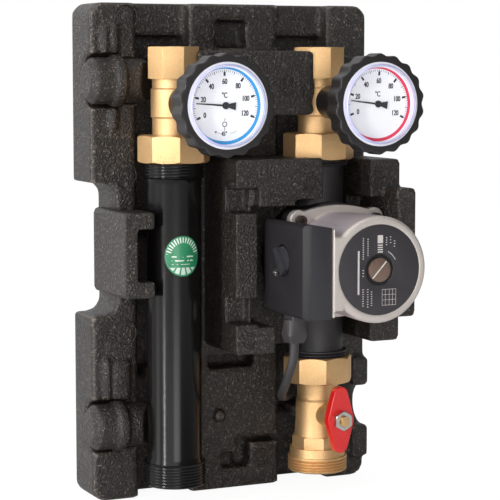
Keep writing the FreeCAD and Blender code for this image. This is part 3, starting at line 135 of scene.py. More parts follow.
class Tree:
    """A node tree that is written as calls and expressions."""

    def __init__(self, tree):
        self.tree = tree

    def node(self, kind, settings=None, sockets=None, out=0):
        """Adds a node: its settings first, then the values or wires of its sockets."""
        made = self.tree.nodes.new(kind)
        for name, value in (settings or {}).items():
            if name == "stops":
                self.set_stops(made.color_ramp, value)
            else:
                setattr(made, name, value)
        for key, value in (sockets or {}).items():
            if isinstance(value, Wire):
                self.tree.links.new(value.socket, made.inputs[key])
            else:
                made.inputs[key].default_value = value
        return None if out is None else Wire(self, made.outputs[out])

    def math(self, operation, first, second=0.0):
        return self.node("ShaderNodeMath", {"operation": operation}, {0: first, 1: second})

    def vector_math(self, operation, first, second=(0.0, 0.0, 0.0), out=0):
        return self.node("ShaderNodeVectorMath", {"operation": operation}, {0: first, 1: second}, out)

    def part(self, vector, axis):
        """One of a vector's three numbers."""
        return self.node("ShaderNodeSeparateXYZ", {}, {0: vector}, axis)

    def ranged(self, value, start, end, first, last):
        """A value between two limits, spread over another range and held at its ends."""
        return self.node("ShaderNodeMapRange", {}, {
            "Value": value, "From Min": start, "From Max": end, "To Min": first, "To Max": last})

    @staticmethod
    def set_stops(ramp, stops):
        while len(ramp.elements) < len(stops):
            ramp.elements.new(0.5)
        for element, (place, colour) in zip(ramp.elements, stops):
            element.position = place
            element.color = colour


class Material(Tree):
    """A Principled material with the patterns that this object's finishes share."""

    def __init__(self, name):
        self.data = bpy.data.materials.new(name)
        self.data.use_nodes = True
        super().__init__(self.data.node_tree)
        self.tree.nodes.clear()
        self.place = self.node("ShaderNodeTexCoord", out="Object")

    def noise(self, scale, detail=4.0, roughness=0.55, place=None):
        """Fine noise, 0 to 1; scale is in features per metre."""
        return self.node("ShaderNodeTexNoise", {"noise_dimensions": "3D"}, {
            "Vector": place or self.place, "Scale": scale, "Detail": detail, "Roughness": roughness})

    def crisp(self, scale, detail, roughness, contrast):
        """Noise with its contrast raised about its middle."""
        return ((self.noise(scale, detail, roughness) - 0.5) * contrast + 0.5).clamped()

    def cells(self, scale, feature="F1", out="Distance"):
        """Cells packed side by side; scale is in cells per metre."""
        return self.node("ShaderNodeTexVoronoi", {"feature": feature}, {
            "Vector": self.place, "Scale": scale}, out)

    def stretched(self, scale):
        """The object's coordinates, scaled along each axis."""
        return self.node("ShaderNodeMapping", {}, {"Vector": self.place, "Scale": scale})

    def mix(self, factor, first, second, blend="MIX"):
        return self.node("ShaderNodeMix", {"data_type": "RGBA", "blend_type": blend}, {
            0: factor, 6: first, 7: second}, 2)

    def ramp(self, factor, stops):
        return self.node("ShaderNodeValToRGB", {"stops": stops}, {0: factor})

    def bump(self, height, distance, strength=1.0):
        return self.node("ShaderNodeBump", {}, {"Height": height, "Distance": distance, "Strength": strength})

    def attribute(self, name, out="Fac"):
        return self.node("ShaderNodeAttribute", {"attribute_name": name}, out=out)

    def finish(self, **sockets):
        """Ends the material; a socket's name is written with _ for its spaces."""
        named = {key.replace("_", " "): value for key, value in sockets.items()}
        shader = self.node("ShaderNodeBsdfPrincipled", {}, named)
        self.node("ShaderNodeOutputMaterial", {}, {"Surface": shader}, None)
        return self.data


def rgb(red, green, blue):
    """A colour written as it looks on a screen, 0 to 255, as the shader wants it."""
    def linear(value):
        value /= 255.0
        return value / 12.92 if value <= 0.04045 else ((value + 0.055) / 1.055) ** 2.4
    return (linear(red), linear(green), linear(blue), 1.0)


# ---------------------------------------------------------------- meshes
def new_object(name, mesh):
    made = bpy.data.objects.new(name, mesh)
    bpy.context.scene.collection.objects.link(made)
    return made


def mesh_from(bm, name):
    mesh = bpy.data.meshes.new(name)
    bm.to_mesh(mesh)
    bm.free()
    return new_object(name, mesh)


def fixed(piece):
    """Turns a piece and its modifiers into a plain mesh."""
    evaluated = piece.evaluated_get(bpy.context.evaluated_depsgraph_get())
    mesh = bpy.data.meshes.new_from_object(evaluated)
    name = piece.name
    bpy.data.objects.remove(piece)
    return new_object(name, mesh)


def add_modifier(piece, name, kind, **settings):
    modifier = piece.modifiers.new(name, kind)
    for key, value in settings.items():
        setattr(modifier, key, value)
    return modifier


def smooth(piece, degrees=32.0):
    piece.data.shade_smooth()
    piece.data.set_sharp_from_angle(angle=math.radians(degrees))


def paint(piece, material):
    if piece.material_slots:
        for slot in piece.material_slots:
            slot.material = material
    else:
        piece.data.materials.append(material)


def welded_copy(node, name):
    """A copy of a CAD node with its loose triangles joined."""
    bm = bmesh.new()
    bm.from_mesh(NODES[node].data)
    bmesh.ops.remove_doubles(bm, verts=bm.verts, dist=2e-6)
    bmesh.ops.dissolve_limit(bm, angle_limit=math.radians(0.6), verts=bm.verts, edges=bm.edges)
    for face in bm.faces:
        face.material_index = 0
    return mesh_from(bm, name)


def dressed(node, finish, edge, move=None):
    """A CAD node with its sharp edges broken, which stands for the node; move may shift its vertices."""
    piece = welded_copy(node, node + "_dressed")
    if move:
        for vertex in piece.data.vertices:
            vertex.co = move(vertex.co)
    add_modifier(piece, "broken_edges", "BEVEL", width=edge, segments=3, limit_method="ANGLE",
                 angle_limit=math.radians(28.0), use_clamp_overlap=True, harden_normals=False)
    piece = fixed(piece)
    smooth(piece)
    take_over(piece, node, finish)


def take_over(piece, node, finish):
    """Gives a finished piece its material and body, and lets it stand for its node."""
    paint(piece, finish_of(finish))
    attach(piece, NODES[node]["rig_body"])
    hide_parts(node)


def beside(piece, node, finish):
    """A finished piece that goes along with a node's body."""
    paint(piece, finish_of(finish))
    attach(piece, NODES[node]["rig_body"])


def slot_of(node):
    for entry in frame["record"]["subparts"]:
        if entry["node"] == node:
            return entry["material_slot"]
    raise ValueError("no material slot for " + node)


def moulded(node, finish, voxel, relax, edge_shading_depth, piece=None):
    """A CAD node remade as one soft skin, which stands for it.

    How far each point moved outwards is kept in the wear attribute, so that a finish can paint a highlight on
    the edges, 1, and shade in the hollows, -1.
    """
    piece = piece or welded_copy(node, node + "_skin")
    add_modifier(piece, "skin", "REMESH", mode="VOXEL", voxel_size=voxel, adaptivity=0.0,
                 use_smooth_shade=True)
    piece = fixed(piece)
    count = len(piece.data.vertices)
    sharp = np.empty(count * 3)
    piece.data.vertices.foreach_get("co", sharp)
    add_modifier(piece, "worn", "SMOOTH", factor=0.5, iterations=relax)
    piece = fixed(piece)
    soft = np.empty(count * 3)
    normals = np.empty(count * 3)
    piece.data.vertices.foreach_get("co", soft)
    piece.data.vertices.foreach_get("normal", normals)
    # this measure places painted highlights on the edges and painted shade in the hollows
    worn = ((sharp - soft).reshape(-1, 3) * normals.reshape(-1, 3)).sum(1) / edge_shading_depth
    wear = piece.data.attributes.new("wear", "FLOAT", "POINT")
    wear.data.foreach_set("value", worn.clip(-1, 1).astype(np.float32))
    piece.data.shade_smooth()
    take_over(piece, node, finish)


def lathe(name, profile, centre, steps=128):
    """A solid turned about a line along Y; profile is (radius, y) pairs from front to back.

    A radius may be a function of the angle from straight up.
    """
    bm = bmesh.new()
    rings = []
    for radius, y in profile:
        if radius == 0:
            rings.append([bm.verts.new((centre[0], y, centre[1]))])
            continue
        ring = []
        for i in range(steps):
            a = 2 * math.pi * i / steps
            r = radius(a) if callable(radius) else radius
            ring.append(bm.verts.new((centre[0] + r * math.sin(a), y, centre[1] + r * math.cos(a))))
        rings.append(ring)
    for near, far in zip(rings, rings[1:]):
        for i in range(steps):
            j = (i + 1) % steps
            if len(near) == 1:
                bm.faces.new((near[0], far[i], far[j]))
            elif len(far) == 1:
                bm.faces.new((near[j], near[i], far[0]))
            else:
                bm.faces.new((near[j], near[i], far[i], far[j]))
    bmesh.ops.remove_doubles(bm, verts=bm.verts, dist=1e-7)
    bmesh.ops.recalc_face_normals(bm, faces=bm.faces)
    return mesh_from(bm, name)


def square_ring(inner, outer, near, far):
    """The closed section of a ring with flat sides."""
    return [(inner, near), (outer, near), (outer, far), (inner, far), (inner, near)]


def arc(centre, radius, start_deg, end_deg, steps):
    """Points of an arc in a profile, from one angle to another."""
    points = []
    for i in range(steps + 1):
        a = math.radians(start_deg + (end_deg - start_deg) * i / steps)
        points.append((centre[0] + radius * math.cos(a), centre[1] + radius * math.sin(a)))
    return points


def merged(name, pieces):
    """Puts several mesh objects into one."""
    bm = bmesh.new()
    for piece in pieces:
        bm.from_mesh(piece.data)
        bpy.data.objects.remove(piece)
    for face in bm.faces:
        face.material_index = 0
    return mesh_from(bm, name)


def bars(name, boxes):
    """Thin printed bars; each is (x from, x to, y from, y to, z from, z to)."""
    bm = bmesh.new()
    for x0, x1, y0, y1, z0, z1 in boxes:
        place = Matrix.Translation(((x0 + x1) / 2, (y0 + y1) / 2, (z0 + z1) / 2))
        size = Matrix.Diagonal((x1 - x0, y1 - y0, z1 - z0, 1.0))
        bmesh.ops.create_cube(bm, size=1.0, matrix=place @ size)
    return mesh_from(bm, name)


def band(name, centre, y, thickness, radii, turn_deg, steps=96):
    """A flat arc band round a centre; radii gives (degrees, inner radius, outer radius) stops."""
    bm = bmesh.new()
    degrees = [stop[0] for stop in radii]
    rows = []
    for i in range(steps + 1):
        a = degrees[0] + (degrees[-1] - degrees[0]) * i / steps
        inner = float(np.interp(a, degrees, [stop[1] for stop in radii]))
        outer = float(np.interp(a, degrees, [stop[2] for stop in radii]))
        turn = math.radians(a + turn_deg)
        way = (math.sin(turn), math.cos(turn))
        back = y + thickness
        rows.append([bm.verts.new((centre[0] + way[0] * r, depth, centre[1] + way[1] * r))
                     for r, depth in ((inner, y), (outer, y), (outer, back), (inner, back))])
    for near, far in zip(rows, rows[1:]):
        for i in range(4):
            j = (i + 1) % 4
            bm.faces.new((near[i], near[j], far[j], far[i]))
    bm.faces.new(rows[0])
    bm.faces.new(rows[-1])
    bmesh.ops.recalc_face_normals(bm, faces=bm.faces)
    return mesh_from(bm, name)


FIGURE_WIDTH = 0.72             # share of the font's own width
FIGURE_THICKENS = 0.02          # the outline's offset, as a share of the height
FIGURE_STROKE = 0.035           # the figure is drawn twice, this share of its height to each side
FIGURE_DEPTH = 0.04 * MM


def lettering(text, height, centre, y):
    """Plain figures as a mesh that faces the front, with their middle at a point (x, z)."""
    curve = bpy.data.curves.new("figures", "FONT")
    curve.body = text
    curve.size = height * 1.4
    curve.extrude = FIGURE_DEPTH
    curve.offset = height * FIGURE_THICKENS
    curve.align_x = "CENTER"
    curve.align_y = "CENTER"
    drawn = bpy.data.objects.new("figures", curve)
    bpy.context.scene.collection.objects.link(drawn)
    mesh = bpy.data.meshes.new_from_object(drawn.evaluated_get(bpy.context.evaluated_depsgraph_get()))
    bpy.data.objects.remove(drawn)
    turned = Matrix.Rotation(math.pi / 2, 4, "X") @ Matrix.Diagonal((FIGURE_WIDTH, 1, 1, 1))
    bm = bmesh.new()
    for shift in (-FIGURE_STROKE * height, FIGURE_STROKE * height):
        stroke = mesh.copy()
        stroke.transform(Matrix.Translation((centre[0] + shift, y, centre[1])) @ turned)
        bm.from_mesh(stroke)
    return mesh_from(bm, "figures")


# ---------------------------------------------------------------- geometry trees
class GeometryTree(Tree):
    """A Geometry Nodes tree with named inputs, which is run once and turned into a mesh."""

    def __init__(self, name):
        super().__init__(bpy.data.node_groups.new(name, "GeometryNodeTree"))
        self.names = {}
        self.entry = self.tree.nodes.new("NodeGroupInput")
        self.geometry = self.input("Geometry", "NodeSocketGeometry")
        self.tree.interface.new_socket("Geometry", in_out="OUTPUT", socket_type="NodeSocketGeometry")

    def facing(self, **turns):
        """A rotation from the angles about X, Y and Z."""
        euler = self.node("ShaderNodeCombineXYZ", {}, turns)
        return self.node("FunctionNodeEulerToRotation", {}, {"Euler": euler})

    def input(self, name, kind="NodeSocketFloat"):
        socket = self.tree.interface.new_socket(name, in_out="INPUT", socket_type=kind)
        self.names[name] = socket.identifier
        return Wire(self, self.entry.outputs[name])

    def end(self, geometry):
        """Ends the tree with plain geometry in the material of its Material input."""
        material = self.input("Material", "NodeSocketMaterial")
        plain = self.node("GeometryNodeRealizeInstances", {}, {"Geometry": geometry})
        painted = self.node("GeometryNodeSetMaterial", {}, {"Geometry": plain, "Material": material})
        self.node("NodeGroupOutput", {}, {0: painted}, None)

    def run(self, piece, values):
        modifier = piece.modifiers.new(self.tree.name, "NODES")
        modifier.node_group = self.tree
        for name, value in values.items():
            modifier[self.names[name]] = value
        return fixed(piece)


def tick_tree():
    """Bars that stand round a centre at even steps, in the plane that faces the front."""
    tree = GeometryTree("dial_ticks")
    count = tree.input("Count", "NodeSocketInt")
    start = tree.input("Start")
    step = tree.input("Step")
    size = tree.input("Size", "NodeSocketVector")
    radius = tree.input("Radius")
    centre = tree.input("Centre", "NodeSocketVector")
    points = tree.node("GeometryNodeMeshLine", {}, {"Count": count, "Offset": (0.0, 0.0, 0.0)})
    tick = tree.node("GeometryNodeMeshCube", {}, {"Size": size})
    out = tree.node("ShaderNodeCombineXYZ", {}, {"Z": radius})
    tick = tree.node("GeometryNodeTransform", {}, {"Geometry": tick, "Translation": out})
    angle = tree.node("GeometryNodeInputIndex") * step + start
    ticks = tree.node("GeometryNodeInstanceOnPoints", {}, {
        "Points": points, "Instance": tick, "Rotation": tree.facing(Y=angle)})
    tree.end(tree.node("GeometryNodeTransform", {}, {"Geometry": ticks, "Translation": centre}))
    return tree


def ring_tree():
    """A thin raised ring at each point, facing the front, as wide as the point's ring_r."""
    tree = GeometryTree("mould_rings")
    wire = tree.input("Wire")
    circle = tree.node("GeometryNodeCurvePrimitiveCircle", {"mode": "RADIUS"}, {
        "Resolution": 48, "Radius": 1.0})
    width = tree.node("GeometryNodeInputNamedAttribute", {"data_type": "FLOAT"}, {"Name": "ring_r"})
    rings = tree.node("GeometryNodeInstanceOnPoints", {}, {
        "Points": tree.geometry, "Instance": circle, "Scale": width, "Rotation": tree.facing(X=math.pi / 2)})
    rings = tree.node("GeometryNodeRealizeInstances", {}, {"Geometry": rings})
    section = tree.node("GeometryNodeCurvePrimitiveCircle", {"mode": "RADIUS"}, {
        "Resolution": 8, "Radius": wire})
    tree.end(tree.node("GeometryNodeCurveToMesh", {}, {"Curve": rings, "Profile Curve": section}))
    return tree


def lobe_tree():
    """Waves the outer skin of a wheel in and out round its own line along Y."""
    tree = GeometryTree("wheel_lobes")
    centre = tree.input("Centre", "NodeSocketVector")
    lobes = tree.input("Lobes", "NodeSocketInt")
    wave = tree.input("Wave")
    inner = tree.input("Inner")
    outer = tree.input("Outer")
    place = tree.node("GeometryNodeInputPosition")
    arm = tree.vector_math("MULTIPLY", tree.vector_math("SUBTRACT", place, centre), (1.0, 0.0, 1.0))
    radius = tree.vector_math("LENGTH", arm, out="Value")
    way = tree.vector_math("NORMALIZE", arm)
    part = tree.node("ShaderNodeMapRange", {"interpolation_type": "SMOOTHSTEP"}, {
        "Value": radius, "From Min": inner, "From Max": outer})
    turn = tree.math("ARCTAN2", tree.part(arm, "X"), tree.part(arm, "Z"))
    shift = (turn * lobes).cos() * wave * part
    offset = tree.node("ShaderNodeVectorMath", {"operation": "SCALE"}, {0: way, "Scale": shift})
    tree.end(tree.node("GeometryNodeSetPosition", {}, {"Geometry": tree.geometry, "Offset": offset}))
    return tree


def no_geometry(name):
    return new_object(name, bpy.data.meshes.new(name))


# ---------------------------------------------------------------- settings
def length(name, text, default):
    return bpy.props.FloatProperty(name=name, description=text, default=default, unit="LENGTH", precision=5)


def angle(name, text, degrees):
    return bpy.props.FloatProperty(name=name, description=text, default=math.radians(degrees),
                                   subtype="ANGLE")


def colour(name, text, red, green, blue):
    return bpy.props.FloatVectorProperty(name=name, description=text, default=rgb(red, green, blue), size=4,
                                         subtype="COLOR", min=0.0, max=1.0)


def amount(name, text, default):
    return bpy.props.FloatProperty(name=name, description=text, default=default)


class PumpGroupView(bpy.types.PropertyGroup):
    place: bpy.props.FloatVectorProperty(name="Camera place", description="Where the camera stands",
                                         default=(-0.6053, -1.3723, 0.3270), subtype="TRANSLATION",
                                         unit="LENGTH")
    yaw: angle("Yaw", "How far the camera looks to the right of the wall's normal", 25.02)
    pitch: angle("Pitch", "How far the camera looks down", 5.81)
    lens: amount("Lens", "Focal length in millimetres on a 36 mm sensor", 131.8)
    key_power: amount("Key light", "Power of the large soft light, in watts", 31.0)
    strip_power: amount("Strip light", "Power of the narrow light at the left, in watts", 24.0)
    side_power: amount("Side light", "Power of the soft light beside the left face, in watts", 5.0)
    low_power: amount("Low light", "Power of the small light towards the lower valve, in watts", 4.5)
    top_power: amount("Top light", "Power of the soft light above, in watts", 6.0)


class PumpGroupSizes(bpy.types.PropertyGroup):
    bead: length("Foam bead", "Width of one foam bead", 3.0 * MM)
    shell_skin: length("Shell skin", "Voxel of the large foam shell", 2.05 * MM)
    insert_skin: length("Insert skin", "Voxel of the smaller foam pieces", 1.25 * MM)
    cable: length("Cable", "Diameter of the pump's cable", 7.0 * MM)
    brass_edge: length("Brass edge", "Width of the broken edges of the brass pieces", 0.45 * MM)
    wheel_r: length("Wheel radius", "Mean radius of the hand wheels", 36.9 * MM)
    wheel_wave: length("Wheel wave", "Height of the lobes of the hand wheels", 0.95 * MM)
    wheel_lobes: bpy.props.IntProperty(name="Wheel lobes", description="Lobes round each hand wheel",
                                       default=18)
    return_dial_turn: angle("Return dial turn", "How far the return dial has ended up turned", -1.5)
    flow_dial_turn: angle("Flow dial turn", "How far the flow dial has ended up turned", 3.0)
    sticker_r: length("Sticker radius", "Radius of the round sticker on the pipe", 14.5 * MM)
    sticker_z: length("Sticker height", "Height of the sticker's middle", 180.8 * MM)


class PumpGroupColours(bpy.types.PropertyGroup):
    foam_dark: colour("Foam, dark beads", "Darkest beads", 9, 7, 6)
    foam_light: colour("Foam, light beads", "Lightest beads", 52, 43, 36)
    foam_highlight: colour("Foam, painted highlights", "Painted highlights on edges, and painted glints", 178, 164, 152)
    brass: colour("Brass", "Blasted brass", 236, 200, 149)
    brass_dark: colour("Brass, darker", "Brass in the pits of its skin", 206, 163, 112)
    plastic: colour("Wheel plastic", "Black plastic of the hand wheels", 28, 25, 26)
    lever: colour("Lever", "Red of the butterfly handle", 205, 20, 22)
    aluminium: colour("Aluminium", "Blasted aluminium of the motor", 226, 217, 210)
    terminal: colour("Terminal box", "Dark plastic of the terminal box", 38, 37, 42)
    return_arc: colour("Return arc", "Colour band of the return dial", 20, 146, 214)
    flow_arc: colour("Flow arc", "Colour band of the flow dial", 226, 26, 70)
    sticker: colour("Sticker", "Green of the round sticker", 22, 118, 76)


# ---------------------------------------------------------------- finishes
FINISHES = {}


def finish_of(name):
    """A finish by name, made the first time that it is asked for."""
    if name not in FINISHES:
        FINISHES[name] = MAKERS[name](name)
    return FINISHES[name]


def speckled(name, dark, light, scale, rough, spread=0.06, grain=0.03 * MM, stretch=None, **sockets):
    """A finish whose tone wanders between two colours, with a fine grain over it."""
    m = Material(name)
    place = m.stretched(stretch) if stretch else None
    tone = m.noise(scale, place=place)
    fine = m.noise(scale * 7, 3.0, place=place)
    skin = m.mix(tone, dark, light)
    return m.finish(Base_Color=skin, Roughness=fine * (2 * spread) + (rough - spread),
                    Normal=m.bump(fine, grain), **sockets)


def foam(name):
    """Foamed beads with dark seams and pits; the wear attribute gives the edges a painted highlight and the
    hollows painted shade, and pale specks are painted glints.
    """
    sizes = bpy.context.scene.pump_group_sizes
    colours = bpy.context.scene.pump_group_colours
    m = Material(name)
    per_metre = 1 / sizes.bead
    gap = m.cells(per_metre, "DISTANCE_TO_EDGE")
    tone = m.cells(per_metre, out="Color")
    pits = m.cells(per_metre * 1.9)
    cloud = m.noise(45.0, 5.0)
    fine = m.crisp(850.0, 2.0, 0.6, 2.2)
    wear = m.attribute("wear")
    grain = m.crisp(430.0, 3.0, 0.7, 2.0)
    worn = tuple(colours.foam_highlight)
    bead = m.mix((tone * 0.4 + cloud * 0.4 + grain * 0.8 - 0.4).clamped(), tuple(colours.foam_dark),
                 tuple(colours.foam_light))
    # pale specks in the highlight colour: painted glints
    bead = m.mix(((fine * 0.8 + grain * 0.7 - 0.98) * 6).clamped() * 0.42, bead, worn)
    seam = ((0.05 - gap) * 22).clamped()
    bead = m.mix(seam * 0.6, bead, rgb(12, 11, 10))
    pit = ((0.2 - pits) * 9).clamped() * (tone > 0.55)
    bead = m.mix(pit * 0.85, bead, rgb(6, 5, 5))
    # painted highlight on the edges that the smoothing rounded off, broken up by the grain
    edge_highlight_mask = ((wear * 2.6 - 0.5).clamped() * (grain * 1.6 - 0.1).clamped()).clamped()
    bead = m.mix(edge_highlight_mask * 0.75, bead, worn)
    # painted shade in the hollows
    bead = m.mix((wear * -1.8 - 0.3).clamped() * 0.75, bead, rgb(10, 9, 8))
    bead = m.mix(((0.34 - fine) * 5).clamped() * 0.7, bead, rgb(9, 8, 7))
    height = (gap * 3.2).clamped() * 0.5 - pit * 0.8 + grain * 1.2 + fine * 0.8
    return m.finish(Base_Color=bead, Roughness=0.5 - grain * 0.18 - edge_highlight_mask * 0.05,
                    Normal=m.bump(height, 0.42 * MM), Specular_IOR_Level=0.6)


def brass(name):
    """Blasted brass, darker in the pits of its skin."""
    colours = bpy.context.scene.pump_group_colours
    m = Material(name)
    grit = m.crisp(900.0, 4.0, 0.7, 1.8)
    cloud = m.noise(60.0, 4.0)
    skin = m.mix((cloud * 0.5 + grit * 0.8 - 0.15).clamped(), tuple(colours.brass_dark), tuple(colours.brass))
    return m.finish(Base_Color=skin, Metallic=0.92, Roughness=cloud * 0.1 + 0.46,
                    Normal=m.bump(grit, 0.1 * MM, 0.9))


def aluminium(name):
    """Bright turned aluminium at the motor's face, and a duller cast skin on its sides."""
    colours = bpy.context.scene.pump_group_colours
    m = Material(name)
    grit = m.noise(1700.0, 4.0, 0.7)
    cloud = m.noise(35.0, 4.0)
    depth = m.part(m.place, "Y")
    cast = ((depth - (PLATE_FRONT_Y + 4 * MM)) / (3 * MM)).clamped() * (depth < MOTOR_BACK_Y - 9 * MM)
    skin = m.mix((grit * 0.9 + cloud * 0.3 - 0.1).clamped(), rgb(186, 177, 172), tuple(colours.aluminium))
    skin = m.mix(cast * 0.85, skin, m.mix(grit, rgb(180, 171, 179), rgb(216, 206, 214)))
    return m.finish(Base_Color=skin, Metallic=0.55, Roughness=cloud * 0.08 + 0.46,
                    Normal=m.bump(grit, 0.07 * MM, 0.8))


def cast_iron(name):
    """Black paint over the rough skin of cast iron."""
    m = Material(name)
    grit = m.noise(700.0, 5.0, 0.7)
    cloud = m.noise(50.0)
    skin = m.mix(grit, rgb(15, 13, 14), rgb(44, 40, 43))
    return m.finish(Base_Color=skin, Roughness=cloud * 0.15 + 0.42, Normal=m.bump(grit, 0.25 * MM))


def sticker_print(name):
    """Green paper with pale ticks round the top and a pale foot; drawn in the sticker's own units."""
    colours = bpy.context.scene.pump_group_colours
    m = Material(name)
    place = m.attribute("label", "Vector")
    x, y = m.part(place, "X"), m.part(place, "Y")
    radius = m.math("SQRT", x * x + y * y)
    turn = m.math("ARCTAN2", x, y)
    ticks = ((turn * 34.0).cos() > 0.2) * (radius > 0.66) * (radius < 0.93) * (y > 0.1)
    foot = (y < -0.56) * (radius < 0.92) * ((turn * 16.0).cos() > -0.6)
    rules = (m.math("PINGPONG", y + 0.02, 0.1) < 0.035) * (y < 0.02) * (y > -0.42)
    rules = rules * (m.math("ABSOLUTE", x) < 0.62) * (m.noise(420.0, 0.0) > 0.42)
    fibre = m.noise(900.0)
    paper = m.mix(fibre, tuple(colours.sticker), rgb(34, 134, 90))
    white = (ticks + foot * 0.75 + rules * 0.8).clamped()
    return m.finish(Base_Color=m.mix(white, paper, rgb(222, 232, 222)), Roughness=fibre * 0.1 + 0.32,
                    Normal=m.bump(fibre, 0.01 * MM), Coat_Weight=0.2)


def lens(name):
    """Clear plastic with a breath of dust on it."""
    m = Material(name)
    dust = m.noise(500.0)
    return m.finish(Base_Color=m.mix(dust, rgb(232, 236, 250), rgb(250, 251, 255)),
                    Roughness=dust * 0.04 + 0.03, Alpha=dust * 0.01 + 0.012)


def simple(dark, light, scale, rough, **extra):
    """The maker of a speckled finish between two colours."""
    return lambda name: speckled(name, rgb(*dark), rgb(*light), scale, rough, **extra)


def tinted(field, light, scale, rough, **extra):
    """The maker of a speckled finish whose dark colour is a setting."""
    return lambda name: speckled(name, tuple(getattr(bpy.context.scene.pump_group_colours, field)),
                                 rgb(*light), scale, rough, **extra)


MAKERS = {
    "foam": foam,
    "brass": brass,
    "chromed_brass": simple((205, 205, 208), (232, 232, 235), 200, 0.12, Metallic=1.0, grain=0.002 * MM),
    "seat_ring": simple((225, 225, 220), (240, 240, 236), 300, 0.45),
    "handle_black": tinted("plastic", (38, 34, 35), 500, 0.38, grain=0.05 * MM),
    "case_white": simple((214, 216, 224), (232, 233, 240), 200, 0.4),
    "dial_white": simple((246, 247, 254), (252, 252, 255), 120, 0.5, grain=0.004 * MM),
    "dial_glass": lens,
    "bezel": simple((176, 178, 224), (206, 204, 240), 150, 0.26, spread=0.03, grain=0.004 * MM,
                    Coat_Weight=0.5),
    "pointer_black": simple((6, 6, 8), (12, 12, 15), 400, 0.4, grain=0.006 * MM),
    "print_black": simple((6, 6, 9), (14, 14, 18), 600, 0.5, grain=0.004 * MM),
    "return_arc": tinted("return_arc", (36, 160, 220), 300, 0.45, grain=0.004 * MM),
    "flow_arc": tinted("flow_arc", (232, 40, 84), 300, 0.45, grain=0.004 * MM),
    "red_vinyl": tinted("lever", (220, 32, 32), 150, 0.26, spread=0.04, grain=0.02 * MM, Coat_Weight=0.4),
    "zinc": simple((176, 176, 172), (222, 220, 214), 300, 0.28, Metallic=1.0, grain=0.01 * MM),
    "dark_screw": simple((62, 55, 50), (96, 86, 78), 500, 0.4, Metallic=0.8, grain=0.02 * MM),
    "gasket": simple((36, 40, 38), (52, 58, 54), 700, 0.7),
    "black_pipe": simple((9, 8, 8), (17, 15, 15), 60, 0.2, spread=0.03, grain=0.02 * MM,
                         stretch=(1, 1, 0.25), Specular_IOR_Level=0.25),
    "check_plastic": simple((225, 222, 210), (238, 236, 226), 250, 0.4),
    "spring_steel": simple((150, 150, 150), (190, 190, 190), 500, 0.25, Metallic=1.0, grain=0.004 * MM),
    "cast_iron_black": cast_iron,
    "impeller_plastic": simple((40, 40, 42), (58, 58, 60), 300, 0.45),
    "shaft_ceramic": simple((210, 205, 198), (226, 222, 216), 300, 0.3, grain=0.006 * MM),
    "rotor_steel": simple((120, 120, 124), (160, 160, 164), 300, 0.3, Metallic=1.0, grain=0.01 * MM),
    "can_steel": simple((170, 170, 172), (200, 200, 202), 300, 0.24, Metallic=1.0, grain=0.006 * MM),
    "stator_copper": simple((150, 82, 48), (205, 120, 74), 800, 0.35, Metallic=0.9, stretch=(1, 0.1, 1)),
    "cast_aluminium": aluminium,
    "nameplate_grey": simple((44, 42, 46), (56, 53, 57), 400, 0.42, grain=0.012 * MM),
    "plate_print": simple((186, 180, 178), (214, 208, 204), 500, 0.5, grain=0.004 * MM),
    "vent_brass": simple((112, 92, 82), (146, 122, 108), 260, 0.36, Metallic=0.6, grain=0.02 * MM),
    "bright_slot": simple((236, 230, 222), (252, 248, 240), 400, 0.3, Metallic=0.3, grain=0.006 * MM),
    "terminal_grey": tinted("terminal", (46, 45, 50), 450, 0.44, grain=0.03 * MM),
    "terminal_lid_grey": simple((28, 26, 28), (38, 35, 38), 450, 0.5, grain=0.05 * MM,
                                Specular_IOR_Level=0.3),
    "gland_grey": simple((46, 43, 45), (58, 55, 57), 450, 0.5, grain=0.04 * MM),
    "cable_grey": simple((42, 40, 42), (56, 54, 56), 300, 0.5, grain=0.03 * MM),
    "sticker": sticker_print,
}


# ---------------------------------------------------------------- operators
class PumpGroupOperator:
    """What the operators share: each makes its pieces, and an error stops the one that can't finish."""
    bl_options = {"REGISTER", "UNDO"}

    def execute(self, context):
        self.sizes = context.scene.pump_group_sizes
        self.look = context.scene.pump_group_view
        self.make(context)
        return {"FINISHED"}


class OBJECT_OT_pump_group_camera(PumpGroupOperator, bpy.types.Operator):
    """Stand the camera in front of the group and a little to its left"""
    bl_idname = "object.pump_group_camera"
    bl_label = "Camera"

    def make(self, context):
        data = bpy.data.cameras.new("camera")
        data.lens = self.look.lens
        data.sensor_width = 36.0
        data.clip_end = 30.0
        camera = bpy.data.objects.new("camera", data)
        context.scene.collection.objects.link(camera)
        camera.location = self.look.place
        yaw, pitch = self.look.yaw, self.look.pitch
        way = Vector((math.sin(yaw) * math.cos(pitch), math.cos(yaw) * math.cos(pitch), -math.sin(pitch)))
        camera.rotation_euler = way.to_track_quat("-Z", "Y").to_euler()
        context.scene.camera = camera


CABLE_POINTS_MM = [
    (11.5, -131.0, 115.0), (11.5, -131.0, 104.0), (9.5, -127.5, 92.5), (10.5, -117.5, 80.0),
    (15.5, -101.5, 70.5), (24.0, -83.0, 64.0), (36.0, -65.0, 60.0), (48.3, -48.6, 58.0),
    (55.8, -35.6, 66.6), (60.0, -28.3, 81.5), (59.0, -27.5, 98.0), (55.0, -28.0, 113.5),
    (50.5, -28.3, 126.0), (45.8, -28.3, 133.7),
]
COIL_LANES_MM = [(38.8, -28.3), (38.8, -20.8), (31.2, -20.8), (31.2, -28.3), (31.2, -35.8), (38.8, -35.8)]
COIL_STEPS = 16                 # points of a turn
COIL_CROSS = 3                  # points that the cable takes from one lane to the next
COIL_FIRST_DEG = 224.0


